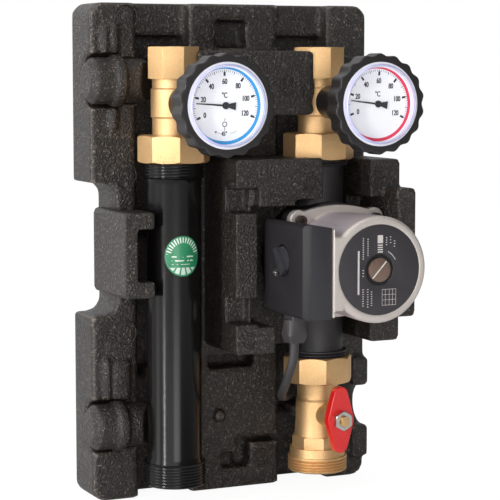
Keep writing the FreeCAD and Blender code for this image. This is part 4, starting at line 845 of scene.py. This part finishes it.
def coil_points():
    """The turns of the spare cable: it goes round in one lane, then crosses to the next one."""
    step = 360.0 / COIL_STEPS
    # a curve of this order runs inside its points, so they stand farther out
    outwards = 1 / (0.75 + 0.25 * math.cos(math.radians(step)))
    last = len(COIL_LANES_MM) - 1
    points = []
    for lane, (r, y) in enumerate(COIL_LANES_MM):
        stay = COIL_STEPS - COIL_CROSS * (1 if lane in (0, last) else 2)
        following = COIL_LANES_MM[min(lane + 1, last)]
        for i in range(stay + COIL_CROSS):
            share = max(0.0, (i - stay + 1) / (COIL_CROSS + 1))
            share = share * share * (3 - 2 * share)
            radius = (r + (following[0] - r) * share) * outwards
            a = math.radians(COIL_FIRST_DEG - step * len(points))
            points.append((FLOW_X + radius * MM * math.cos(a), (y + (following[1] - y) * share) * MM,
                           PUMP_Z + radius * MM * math.sin(a)))
    return points


class OBJECT_OT_pump_group_cable(PumpGroupOperator, bpy.types.Operator):
    """Lay the pump's cable from its gland down, back and into the coil behind the pump"""
    bl_idname = "object.pump_group_cable"
    bl_label = "Cable"

    def make(self, context):
        curve = bpy.data.curves.new("pump_cable", "CURVE")
        curve.dimensions = "3D"
        spline = curve.splines.new("NURBS")
        points = [tuple(value * MM for value in point) for point in CABLE_POINTS_MM] + coil_points()
        spline.points.add(len(points) - 1)
        for point, place in zip(spline.points, points):
            point.co = (*place, 1.0)
        spline.order_u = 3
        spline.use_endpoint_u = True
        spline.resolution_u = 6
        curve.bevel_depth = self.sizes.cable / 2
        curve.bevel_resolution = 6
        curve.use_fill_caps = True
        cable = new_object("pump_cable", curve)
        cable.data.materials.append(finish_of("cable_grey"))
        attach(cable, NODES["cable_tube"]["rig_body"])
        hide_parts("cable_tube", "cable_coil")


FOAM_EDGE_SHADING_DEPTH = 0.9 * MM            # an edge that lost this much gets the full painted highlight, a hollow this deep the full painted shade


class OBJECT_OT_pump_group_foam(PumpGroupOperator, bpy.types.Operator):
    """Remake the foam pieces with soft edges, for a finish that paints highlights on them"""
    bl_idname = "object.pump_group_foam"
    bl_label = "Foam Pieces"

    def make(self, context):
        moulded("rear_shell", "foam", self.sizes.shell_skin, 3, FOAM_EDGE_SHADING_DEPTH)
        for node in ("pump_cradle_left", "pump_cradle_right", "valve_bridge", "pipe_clip",
                     "lower_side_plug", "upper_side_plug"):
            moulded(node, "foam", self.sizes.insert_skin, 4, FOAM_EDGE_SHADING_DEPTH)


MARKS_MM = {                    # x, z and radius of each mark
    "rear_shell": [(-90.5, 362.8, 9.5), (-92.2, 241.0, 9.5), (-93.2, 117.0, 9.5), (-25.0, 352.6, 8.6),
                   (25.8, 7.2, 7.0)],
    "valve_bridge": [(25.1, 310.4, 7.1)],
    "pump_cradle_right": [(97.5, 235.6, 7.0)],
    "pump_cradle_left": [(37.5, 235.6, 7.0), (-14.5, 114.2, 6.2)],
}
MARK_RINGS = (1.0, 0.55)        # each mark's rings, as shares of its radius
MARK_WIRE = 0.5 * MM
MARK_PROUD = 0.15 * MM          # the wire's middle stands this far before the foam


class OBJECT_OT_pump_group_marks(PumpGroupOperator, bpy.types.Operator):
    """Raise the round mould marks on the foam"""
    bl_idname = "object.pump_group_marks"
    bl_label = "Mould Marks"

    def make(self, context):
        tree = ring_tree()
        for node, marks in MARKS_MM.items():
            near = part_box(node)[0].y - 10 * MM
            skin = BVHTree.FromPolygons([vertex.co for vertex in NODES[node].data.vertices],
                                        [face.vertices for face in NODES[node].data.polygons])
            places = [skin.ray_cast(Vector((x * MM, near, z * MM)), Vector((0.0, 1.0, 0.0)))[0]
                      - Vector((0.0, MARK_PROUD, 0.0)) for x, z, r in marks]
            mesh = bpy.data.meshes.new(node + "_marks")
            mesh.from_pydata(places * len(MARK_RINGS), [], [])
            width = mesh.attributes.new("ring_r", "FLOAT", "POINT")
            width.data.foreach_set("value", [r * share * MM for share in MARK_RINGS for x, z, r in marks])
            piece = tree.run(new_object(node + "_marks", mesh), {
                "Wire": MARK_WIRE, "Material": finish_of("foam")})
            piece.data.shade_smooth()
            beside(piece, node, "foam")


BRASS_NODES = ("return_union_nut", "flow_union_nut", "lower_union_nut", "return_valve_body",
               "flow_valve_body", "lower_valve_body")


class OBJECT_OT_pump_group_brass(PumpGroupOperator, bpy.types.Operator):
    """Break the edges of the brass valves and union nuts"""
    bl_idname = "object.pump_group_brass"
    bl_label = "Brass Valves"

    def make(self, context):
        for node in BRASS_NODES:
            dressed(node, "brass", self.sizes.brass_edge)


STICKER_PROUD = 0.12 * MM
STICKER_TURN_DEG = -3.6         # its middle, round the pipe from straight ahead
STICKER_TALL = 1.07             # its height over its width


class OBJECT_OT_pump_group_pipe(PumpGroupOperator, bpy.types.Operator):
    """Finish the black return pipe and wrap its round sticker on it"""
    bl_idname = "object.pump_group_pipe"
    bl_label = "Return Pipe"

    def make(self, context):
        dressed("return_pipe", "black_pipe", 0.0)
        self.wrap_sticker()

    def wrap_sticker(self):
        """A round disc bent onto the pipe; its label attribute runs from -1 to 1 both ways."""
        rings, spokes = 14, 72
        skin = PIPE_R + STICKER_PROUD
        bm = bmesh.new()
        label = bm.verts.layers.float_vector.new("label")
        rows = []
        for ring in range(rings + 1):
            row = []
            for spoke in range(spokes):
                a = 2 * math.pi * spoke / spokes
                u, v = math.sin(a) * ring / rings, math.cos(a) * ring / rings
                wrap = math.radians(STICKER_TURN_DEG) + u * self.sizes.sticker_r / skin
                vert = bm.verts.new((RETURN_X + skin * math.sin(wrap), PIPE_Y - skin * math.cos(wrap),
                                     self.sizes.sticker_z + v * self.sizes.sticker_r * STICKER_TALL))
                vert[label] = (u, v, 0.0)
                row.append(vert)
            rows.append(row)
        for near, far in zip(rows[1:], rows[2:]):
            for i in range(spokes):
                j = (i + 1) % spokes
                bm.faces.new((near[i], near[j], far[j], far[i]))
        for i in range(spokes):
            bm.faces.new((rows[0][0], rows[1][(i + 1) % spokes], rows[1][i]))
        bmesh.ops.delete(bm, geom=rows[0][1:], context="VERTS")
        bm.normal_update()
        if sum(face.normal.y for face in bm.faces) > 0:
            bmesh.ops.reverse_faces(bm, faces=bm.faces)
        sticker = mesh_from(bm, "pipe_sticker")
        sticker.data.shade_smooth()
        beside(sticker, "return_pipe", "sticker")


POCKET_R = 30.6 * MM
NECK_R = 13.0 * MM
SLEEVE_R = 11.7 * MM            # the neck's sleeve goes over the valve's boss
STEM_HOLE_R = 5.2 * MM


class OBJECT_OT_pump_group_wheels(PumpGroupOperator, bpy.types.Operator):
    """Turn the two hand wheels with their lobed rims"""
    bl_idname = "object.pump_group_wheels"
    bl_label = "Hand Wheels"

    def make(self, context):
        tree = lobe_tree()
        for node in ("return_handle", "flow_handle"):
            low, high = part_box(node)
            x = middle(node).x
            wheel = lathe(node + "_wheel", self.wheel_profile(low.y, high.y), (x, STEM_Z), 288)
            wheel = tree.run(wheel, {
                "Centre": (x, 0.0, STEM_Z), "Lobes": self.sizes.wheel_lobes, "Wave": self.sizes.wheel_wave,
                "Inner": self.sizes.wheel_r - 5.2 * MM, "Outer": self.sizes.wheel_r - 1.4 * MM,
                "Material": finish_of("handle_black")})
            smooth(wheel, 40)
            take_over(wheel, node, "handle_black")

    def wheel_profile(self, front, back):
        """The wheel's section: the dial's pocket, the rim, the cone, the neck and its socket for the stem."""
        r = self.sizes.wheel_r
        rim_back = front + 17 * MM
        sleeve_end = back + 10.4 * MM
        profile = [(0, front + 12 * MM), (POCKET_R, front + 12 * MM), (POCKET_R, front + 0.9 * MM),
                   (POCKET_R + 0.9 * MM, front), (r - 5 * MM, front), (r - 3 * MM, front)]
        profile += arc((r - 1.2 * MM, front + 1.2 * MM), 1.2 * MM, -90, 0, 5)
        profile += [(r, front + 5 * MM), (r, front + 10 * MM), (r, front + 15 * MM)]
        profile += arc((r - 2 * MM, rim_back - 2 * MM), 2 * MM, 0, 90, 5)
        profile += [(r - 4 * MM, rim_back + 0.3 * MM), (24 * MM, rim_back + 3.5 * MM),
                    (15 * MM, rim_back + 9 * MM), (NECK_R, rim_back + 13 * MM),
                    (NECK_R, sleeve_end - 0.8 * MM), (NECK_R - 0.6 * MM, sleeve_end), (SLEEVE_R, sleeve_end),
                    (SLEEVE_R, back), (STEM_HOLE_R, back), (STEM_HOLE_R, back - 20 * MM),
                    (0, back - 20 * MM)]
        return profile


FIGURES = ("0", "20", "40", "60", "80", "100", "120")
FIGURE_RADII_MM = (17.6, 17.8, 17.4, 17.2, 17.3, 16.8, 16.4)
FIGURE_H = 3.9 * MM
SCALE_STEP_DEG = 37.3           # from one figure to the next
SCALE_MARKS_MM = (              # count, steps to a figure, width, length and radius of each kind of mark
    (len(FIGURES), 1, 1.6, 3.0, 22.8), (13, 2, 0.5, 2.2, 24.6), (61, 10, 0.3, 1.5, 24.95))
ARC_MM = ((-22, 26.8, 26.9), (10, 26.2, 27.6), (50, 25.6, 28.0), (190, 25.6, 28.0), (215, 26.2, 27.8),
          (238, 26.9, 27.0))    # degrees, inner and outer radius of the coloured band
INK = 0.06 * MM                 # thickness of the print
SIGN_DEG = 184                  # where the return dial shows how the wheel closes
LENS_R = 28.4 * MM
BEZEL_MM = ((28.3, 0.35), (28.7, 0.02), (28.9, 0.1), (29.6, 1.2), (29.9, 1.9), (29.9, 2.5), (28.9, 2.5),
            (28.3, 1.8), (28.3, 0.35))      # radius and depth behind the lens's front


class OBJECT_OT_pump_group_dials(PumpGroupOperator, bpy.types.Operator):
    """Print the thermometer dials and close them with their bezels and lenses"""
    bl_idname = "object.pump_group_dials"
    bl_label = "Thermometers"

    def make(self, context):
        ticks = tick_tree()
        for side, turn in (("return", self.sizes.return_dial_turn), ("flow", self.sizes.flow_dial_turn)):
            self.print_dial(side, turn, ticks)
            self.close_dial(side)
            for node, finish in ((side + "_dial", "dial_white"), (side + "_thermometer_case", "case_white")):
                piece = welded_copy(node, node + "_dressed")
                smooth(piece, 30)
                take_over(piece, node, finish)
            paint(NODES[side + "_pointer"], finish_of("pointer_black"))

    def print_dial(self, side, turn, ticks):
        """Marks, figures and the coloured band, all turned by the same angle."""
        dial = side + "_dial"
        centre = (middle(dial).x, STEM_Z)
        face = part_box(dial)[0].y
        degrees = math.degrees(turn)

        def at(radius, angle_deg):
            a = math.radians(angle_deg) + turn
            return (centre[0] + radius * MM * math.sin(a), centre[1] + radius * MM * math.cos(a))

        def strip(name, stops_mm, turned, steps, about=centre):
            stops = [(stop, inner * MM, outer * MM) for stop, inner, outer in stops_mm]
            return band(name, about, face - INK, INK, stops, turned, steps)

        rows = [ticks.run(no_geometry("ticks"), {
            "Count": count, "Start": math.radians(-3 * SCALE_STEP_DEG) + turn,
            "Step": math.radians(SCALE_STEP_DEG / parts), "Size": (width * MM, INK, tall * MM),
            "Radius": radius * MM, "Centre": (centre[0], face, centre[1]),
            "Material": finish_of("print_black")}) for count, parts, width, tall, radius in SCALE_MARKS_MM]
        rows += [lettering(figure, FIGURE_H, at(radius, (i - 3) * SCALE_STEP_DEG), face)
                 for i, (figure, radius) in enumerate(zip(FIGURES, FIGURE_RADII_MM))]
        rows.append(lettering("°C", FIGURE_H, at(7.3, -3), face))
        if side == "return":
            rows.append(lettering("45°", 3.2 * MM, at(20.4, SIGN_DEG), face))
            rows.append(strip("ring", ((0, 1.4, 1.95), (360, 1.4, 1.95)), 0.0, 32, at(13.4, SIGN_DEG)))
            for near, far in ((9.2, 11.2), (15.6, 18.0)):
                end, start = at(far, SIGN_DEG), at(near, SIGN_DEG)
                rows.append(bars("line", [(start[0] - 0.2 * MM, start[0] + 0.2 * MM, face - INK, face,
                                           end[1], start[1])]))
            for first, last in ((156, 171), (190, 203)):
                rows.append(strip("sweep", ((first, 20.3, 20.5), (last, 20.3, 20.5)), degrees, 12))
            rows.append(strip("head", ((202, 19.5, 21.3), (206.5, 20.35, 20.45)), degrees, 6))
        beside(merged(dial + "_print", rows), dial, "print_black")
        beside(strip(dial + "_band", ARC_MM, degrees, 140), dial, side + "_arc")

    def close_dial(self, side):
        """The flat lens and the bezel that holds it."""
        node = side + "_glass"
        centre = (middle(node).x, STEM_Z)
        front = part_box(node)[0].y
        cover = lathe(side + "_lens", [(0, front + 0.1 * MM), (LENS_R, front + 0.1 * MM),
                                       (LENS_R, front + 1.5 * MM), (0, front + 1.5 * MM)], centre, 96)
        smooth(cover, 30)
        take_over(cover, node, "dial_glass")
        bezel = lathe(side + "_bezel", [(r * MM, front + y * MM) for r, y in BEZEL_MM], centre, 128)
        smooth(bezel, 50)
        beside(bezel, node, "bezel")


class OBJECT_OT_pump_group_butterfly(PumpGroupOperator, bpy.types.Operator):
    """Coat the red butterfly handle and finish its nut and stem"""
    bl_idname = "object.pump_group_butterfly"
    bl_label = "Butterfly Handle"

    def make(self, context):
        moulded("butterfly_handle", "red_vinyl", 0.5 * MM, 7, 0.4 * MM)
        dressed("handle_nut", "zinc", 0.35 * MM)
        dressed("lower_valve_stem", "brass", 0.2 * MM)


DRUM_R = 40.75 * MM
FLANGE_HALF = 44.3 * MM         # the motor's flange at the middle of a side
FLANGE_BULGE_R = 96.0 * MM      # its sides are shallow arcs
HOLE_CLEAR_R = 43.9 * MM        # within this radius there are no screw holes
FLANGE_T = 7.0 * MM
FLANGE_LEFT = 41.4 * MM
BOX_SIDE = 38.7 * MM            # the terminal box stands this far left of the motor's axis
WING_HALF = 26.2 * MM
SCREW_PLACE = 33.2 * MM
SCREW_PAD_R = 8.2 * MM
RIM_INNER_R = 37.0 * MM
PLUG_SHARE = 0.92               # the bleed plug's size, as a share of its construction's
SLOT_TURN_DEG = 47
SLOT_SIZE = (17.2 * MM, 1.2 * MM, 1.1 * MM, 1)
RECESS_SHADE_R = (9.3 * MM, 11.95 * MM)
PLATE_ROWS_MM = (               # x, z and height of each column of marks
    (-13.9, 16.5, 17.0), (-13.9, -2.0, 6.5), (-13.9, -20.5, 14.0), (-9.9, 17.5, 14.0), (-9.9, -21.0, 15.0),
    (-6.6, -21.5, 12.0), (6.0, 21.5, 7.0), (9.4, 22.5, 6.5), (12.8, 19.5, 6.0))
PLATE_BARS_MM = (               # x, z, width and height: a long rule, a block, four lines and a grid
    (-17.8, -1.5, 1.5, 33.0), (0.6, 23.2, 4.6, 6.0),
    (0.6, 13.6, 4.4, 0.9), (0.6, 15.3, 4.4, 0.9), (0.6, 17.0, 4.4, 0.9), (0.6, 18.7, 4.4, 0.9),
    (2.5, -21.0, 0.28, 12.5), (5.2, -21.0, 0.28, 12.5), (8.6, -21.0, 0.28, 12.5),
    (11.4, -21.0, 0.28, 12.5), (14.2, -21.0, 0.28, 12.5),
    (8.4, -15.0, 12.0, 0.28), (8.4, -19.0, 12.0, 0.28), (8.4, -23.0, 12.0, 0.28), (8.4, -27.0, 12.0, 0.28))
BOX_WIDER = 2.7 * MM            # how much nearer to the motor the terminal box ends at its front
BOX_SLOPE = 2.6 * MM            # how far its top falls towards the motor


def drum_reach(a):
    """How far the motor's outline reaches in front of its flange, with its wing at the left."""
    x, z = math.sin(a), math.cos(a)
    if x >= -0.01:
        return DRUM_R
    return min(max(DRUM_R, WING_HALF / max(abs(z), 0.01)), BOX_SIDE / -x)


def side_reach(a):
    """How far the flange's four bulging sides reach."""
    x, z = math.sin(a), math.cos(a)
    along, aside = max(abs(x), abs(z)), min(abs(x), abs(z))
    bend = max(aside * aside / (2 * FLANGE_BULGE_R), 1e-9)
    reach = (math.sqrt(along * along + 4 * bend * FLANGE_HALF) - along) / (2 * bend)
    return min(reach, FLANGE_LEFT / -x) if x < -0.01 else reach


def rim_reach(a):
    """The flange's sides without its corners, where the screws go through."""
    corner = abs(abs(math.tan(a)) - 1) < 0.25
    return min(side_reach(a), HOLE_CLEAR_R) if corner else side_reach(a)


def flange_reach(a):
    """How far the flange reaches, with a pad at each of its four screws."""
    x, z = math.sin(a), math.cos(a)
    reach = side_reach(a)
    for sx, sz in ((-1, -1), (-1, 1), (1, -1), (1, 1)):
        along = SCREW_PLACE * (sx * x + sz * z)
        aside = SCREW_PLACE * abs(sx * z - sz * x)
        if along > 0 and aside < SCREW_PAD_R:
            reach = max(reach, along + math.sqrt(SCREW_PAD_R ** 2 - aside ** 2))
    return reach


class OBJECT_OT_pump_group_motor(PumpGroupOperator, bpy.types.Operator):
    """Finish the pump's motor, its screws, its plate and its bleed plug"""
    bl_idname = "object.pump_group_motor"
    bl_label = "Pump Motor"

    def make(self, context):
        moulded("motor_housing", "cast_aluminium", 0.75 * MM, 4, 0.6 * MM, self.housing())
        dressed("pump_volute", "cast_iron_black", 0.6 * MM)
        dressed("motor_screws", "dark_screw", 0.25 * MM)
        dressed("nameplate", "nameplate_grey", 0.15 * MM)
        plug = middle("vent_plug")

        def shrink(co):
            arm = co - plug
            return Vector((plug.x + arm.x * PLUG_SHARE, co.y, plug.z + arm.z * PLUG_SHARE))

        dressed("vent_plug", "vent_brass", 0.3 * MM, shrink)
        self.print_plate()
        self.slot_reflection_and_recess_shade()

    def housing(self):
        """The motor's housing with a round flange, four screw pads and the wing beside its terminal box."""
        low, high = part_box("motor_housing")
        centre = (FLOW_X, PUMP_Z)
        step = high.y - FLANGE_T
        front, back = low.y - 20 * MM, high.y + 20 * MM
        form = lathe("motor_form", [(0, front), (drum_reach, front), (drum_reach, step), (flange_reach, step),
                                    (flange_reach, back), (0, back)], centre, 360)
        piece = welded_copy("motor_housing", "motor_cast")
        add_modifier(piece, "outline", "BOOLEAN", operation="INTERSECT", object=form, solver="EXACT")
        piece = fixed(piece)
        bpy.data.objects.remove(form)
        near, far = step + 0.05 * MM, high.y - 0.05 * MM
        rim = lathe("motor_rim", square_ring(RIM_INNER_R, rim_reach, near, far), centre, 360)
        left = FLOW_X - BOX_SIDE
        edge = bars("wing_edge", [
            (left, left + 1.5 * MM, low.y, low.y + 6 * MM, PUMP_Z - 34.5 * MM, PUMP_Z + 32 * MM),
            (left, FLOW_X - 30 * MM, low.y, low.y + 8 * MM, PUMP_Z - 29.5 * MM, PUMP_Z - 20 * MM)])
        return merged("motor_housing_skin", [piece, rim, edge])

    def print_plate(self):
        """Bars and rows of short marks where the plate has its data."""
        centre = middle("nameplate")
        thick = 0.05 * MM
        near, far = PLATE_FRONT_Y - thick, PLATE_FRONT_Y + thick
        boxes = []

        def bar(x, z, width, height):
            boxes.append(((x - width / 2) * MM + centre.x, (x + width / 2) * MM + centre.x, near, far,
                          (z - height / 2) * MM + centre.z, (z + height / 2) * MM + centre.z))

        for x, z, height in PLATE_ROWS_MM:
            marks = int(height / 1.7)
            for i in range(marks):
                bar(x, z - height / 2 + (i + 0.5) * height / marks, 1.15, 0.62)
        for box in PLATE_BARS_MM:
            bar(*box)
        sweep = band("plate_sweep", (centre.x, centre.z), near, 2 * thick,
                     ((28, 15.2 * MM, 15.7 * MM), (62, 15.2 * MM, 15.7 * MM)), 0.0, 24)
        beside(merged("nameplate_print", [bars("bars", boxes), sweep]), "nameplate", "plate_print")

    def slot_reflection_and_recess_shade(self):
        """The plug's slot as a near-white bar, a painted reflection, and a black ring round the plug, painted
        shade in its recess.
        """
        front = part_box("vent_plug")[0].y
        centre = middle("vent_plug")
        # a near-white bar in the plug's slot: a painted reflection
        place = Matrix.Translation((centre.x, front + 0.9 * MM, centre.z))
        place = place @ Matrix.Rotation(math.radians(-SLOT_TURN_DEG), 4, "Y")
        bm = bmesh.new()
        bmesh.ops.create_cube(bm, size=1.0, matrix=place @ Matrix.Diagonal(SLOT_SIZE))
        bmesh.ops.bevel(bm, geom=bm.edges, offset=0.12 * MM, segments=2, affect="EDGES")
        beside(mesh_from(bm, "vent_slot"), "vent_plug", "bright_slot")
        # a black ring in the recess round the plug: painted shade
        near, far = PLATE_FRONT_Y + 0.9 * MM, PLATE_FRONT_Y + 2.5 * MM
        shade = lathe("vent_recess", square_ring(*RECESS_SHADE_R, near, far), (centre.x, centre.z), 96)
        beside(shade, "nameplate", "pointer_black")


GLAND_R = 8.0 * MM
GLAND_CORNER = 1.28             # how far its round wall goes out at the corners


class OBJECT_OT_pump_group_terminal(PumpGroupOperator, bpy.types.Operator):
    """Finish the terminal box with its lid, speed knob, screw and cable gland"""
    bl_idname = "object.pump_group_terminal"
    bl_label = "Terminal Box"

    def make(self, context):
        low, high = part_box("terminal_base")

        def widen(co):
            share = (high.y - co.y) / (high.y - low.y) if co.x > high.x - 0.6 * MM else 0.0
            drop = (co.x - low.x) / (high.x - low.x) if co.z > high.z - 1.0 * MM else 0.0
            return co + Vector((BOX_WIDER * share, 0.0, -BOX_SLOPE * drop))

        dressed("terminal_base", "terminal_grey", 0.5 * MM, widen)
        dressed("terminal_lid", "terminal_lid_grey", 0.4 * MM)
        dressed("speed_knob", "terminal_grey", 0.35 * MM)
        dressed("lid_screw", "zinc", 0.2 * MM)
        gland_low, gland_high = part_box("cable_gland")
        line = Vector((gland_low.x + GLAND_R, middle("cable_gland").y))

        def square(co):
            arm = co.xy - line
            if co.z > gland_high.z - 5.2 * MM or arm.length < 5 * MM:
                return co
            arm *= min(GLAND_CORNER, arm.length / max(abs(arm.x), abs(arm.y)))
            return Vector((*(line + arm), co.z))

        dressed("cable_gland", "gland_grey", 0.6 * MM, square)


INNER_NODES = (
    "union_gaskets", "check_cage", "check_poppet", "check_spring", "return_valve_seats", "return_valve_ball",
    "return_valve_stem", "flow_valve_seats", "flow_valve_ball", "flow_valve_stem", "lower_valve_seats",
    "lower_valve_ball", "impeller", "pump_shaft", "pump_rotor", "rotor_can", "shaft_bearings", "stator",
)


class OBJECT_OT_pump_group_inner(PumpGroupOperator, bpy.types.Operator):
    """Give the pieces inside the valves, the pipe and the motor their finishes"""
    bl_idname = "object.pump_group_inner"
    bl_label = "Inner Pieces"

    def make(self, context):
        for node in INNER_NODES:
            paint(NODES[node], finish_of(slot_of(node)))


GROUP_AIM = (0.0, -0.08, 0.17)
VALVE_AIM = (0.07, -0.1, 0.03)
LAMPS = (                       # setting, aim, degrees to the right and up, distance, width, height
    ("key", GROUP_AIM, -32, 7, 3.0, 2.6, 2.2),
    ("strip", GROUP_AIM, -67, 9, 2.0, 0.14, 1.3),
    ("side", GROUP_AIM, -96, 14, 1.6, 0.5, 1.2),
    ("low", VALVE_AIM, -18, 5, 1.6, 0.7, 0.5),
    ("top", GROUP_AIM, -15, 78, 1.7, 1.3, 0.9),
)
WHITE = (1, 1, 1, 1)
FLOOR_GAP = 0.2 * MM            # the floor lies this far under the group
FLOOR_SEEN_WHITE = 0.84         # how much of the floor glows for the camera; the rest keeps the shadow
FLOOR_GLOW = 1.12


class OBJECT_OT_pump_group_stage(PumpGroupOperator, bpy.types.Operator):
    """Set the pale floor, the white surroundings and the soft lights"""
    bl_idname = "object.pump_group_stage"
    bl_label = "Stage and Lights"

    def make(self, context):
        context.scene.view_settings.view_transform = "Standard"
        self.floor()
        self.surroundings(context)
        for name, aim, azimuth, elevation, distance, width, height in LAMPS:
            self.lamp(name + "_light", Vector(aim), azimuth, elevation, distance, (width, height),
                      getattr(self.look, name + "_power"))

    def lamp(self, name, aim, azimuth, elevation, distance, size, power):
        data = bpy.data.lights.new(name, "AREA")
        data.shape = "RECTANGLE"
        data.size, data.size_y = size
        data.energy = power
        lamp = bpy.data.objects.new(name, data)
        bpy.context.scene.collection.objects.link(lamp)
        a, e = math.radians(azimuth), math.radians(elevation)
        way = Vector((math.sin(a) * math.cos(e), -math.cos(a) * math.cos(e), math.sin(e)))
        lamp.location = aim + way * distance
        lamp.rotation_euler = (-way).to_track_quat("-Z", "Y").to_euler()

    def floor(self):
        bm = bmesh.new()
        bmesh.ops.create_grid(bm, x_segments=1, y_segments=1, size=8.0,
                              matrix=Matrix.Translation((0, 0, SHELL_BOTTOM_Z - FLOOR_GAP)))
        ground = mesh_from(bm, "floor")
        m = Material("floor")
        tone = m.ramp(m.noise(2.0), [(0, (0.86, 0.86, 0.86, 1)), (1, (0.9, 0.9, 0.9, 1))])
        shade = m.node("ShaderNodeBsdfDiffuse", {}, {"Color": tone})
        glow = m.node("ShaderNodeEmission", {}, {"Color": WHITE, "Strength": FLOOR_GLOW})
        seen = m.node("ShaderNodeLightPath", out="Is Camera Ray")
        mixed = m.node("ShaderNodeMixShader", {}, {0: seen * FLOOR_SEEN_WHITE, 1: shade, 2: glow})
        m.node("ShaderNodeOutputMaterial", {}, {"Surface": mixed}, None)
        ground.data.materials.append(m.data)

    def surroundings(self, context):
        """White for the camera; dimmer towards the right front, brighter behind, for the light itself."""
        world = bpy.data.worlds.new("surroundings")
        world.use_nodes = True
        context.scene.world = world
        tree = Tree(world.node_tree)
        world.node_tree.nodes.clear()
        way = tree.node("ShaderNodeTexCoord", out="Generated")
        x, y, z = (tree.part(way, axis) for axis in "XYZ")
        light = tree.ranged(x * 0.62 - y * 0.72, -0.35, 0.75, 0.42, 0.12)
        light = light + tree.ranged(y - x * 0.5, 0.45, 1.0, 0.0, 0.7)
        light = light + tree.math("MAXIMUM", z, 0.0) * 0.12
        white = tree.node("ShaderNodeLightPath", out="Is Camera Ray")
        white = (white + tree.node("ShaderNodeLightPath", out="Is Transmission Ray")).clamped()
        back = tree.node("ShaderNodeBackground", {}, {
            "Color": WHITE, "Strength": light * (1 - white) + white})
        tree.node("ShaderNodeOutputWorld", {}, {"Surface": back}, None)


class VIEW3D_PT_pump_group(bpy.types.Panel):
    """Lists the steps that dress the pump group"""
    bl_idname = "VIEW3D_PT_pump_group"
    bl_label = "Pump Group"
    bl_space_type = "VIEW_3D"
    bl_region_type = "UI"
    bl_category = "Pump Group"

    def draw(self, context):
        for operator in OPERATORS:
            self.layout.operator(operator.bl_idname)
        for group in (context.scene.pump_group_view, context.scene.pump_group_sizes,
                      context.scene.pump_group_colours):
            for name in group.__annotations__:
                self.layout.prop(group, name)


OPERATORS = (
    OBJECT_OT_pump_group_camera, OBJECT_OT_pump_group_cable, OBJECT_OT_pump_group_foam,
    OBJECT_OT_pump_group_marks, OBJECT_OT_pump_group_brass, OBJECT_OT_pump_group_pipe,
    OBJECT_OT_pump_group_wheels, OBJECT_OT_pump_group_dials, OBJECT_OT_pump_group_butterfly,
    OBJECT_OT_pump_group_motor, OBJECT_OT_pump_group_terminal, OBJECT_OT_pump_group_inner,
    OBJECT_OT_pump_group_stage,
)
SETTINGS = {"pump_group_view": PumpGroupView, "pump_group_sizes": PumpGroupSizes,
            "pump_group_colours": PumpGroupColours}


def register():
    for name, group in SETTINGS.items():
        bpy.utils.register_class(group)
        setattr(bpy.types.Scene, name, bpy.props.PointerProperty(type=group))
    for operator in OPERATORS:
        bpy.utils.register_class(operator)
    bpy.utils.register_class(VIEW3D_PT_pump_group)


def unregister():
    bpy.utils.unregister_class(VIEW3D_PT_pump_group)
    for operator in reversed(OPERATORS):
        bpy.utils.unregister_class(operator)
    for name, group in SETTINGS.items():
        delattr(bpy.types.Scene, name)
        bpy.utils.unregister_class(group)


def main():
    register()
    for operator in OPERATORS:
        module, name = operator.bl_idname.split(".")
        getattr(getattr(bpy.ops, module), name)()


if __name__ == "__main__":
    main()
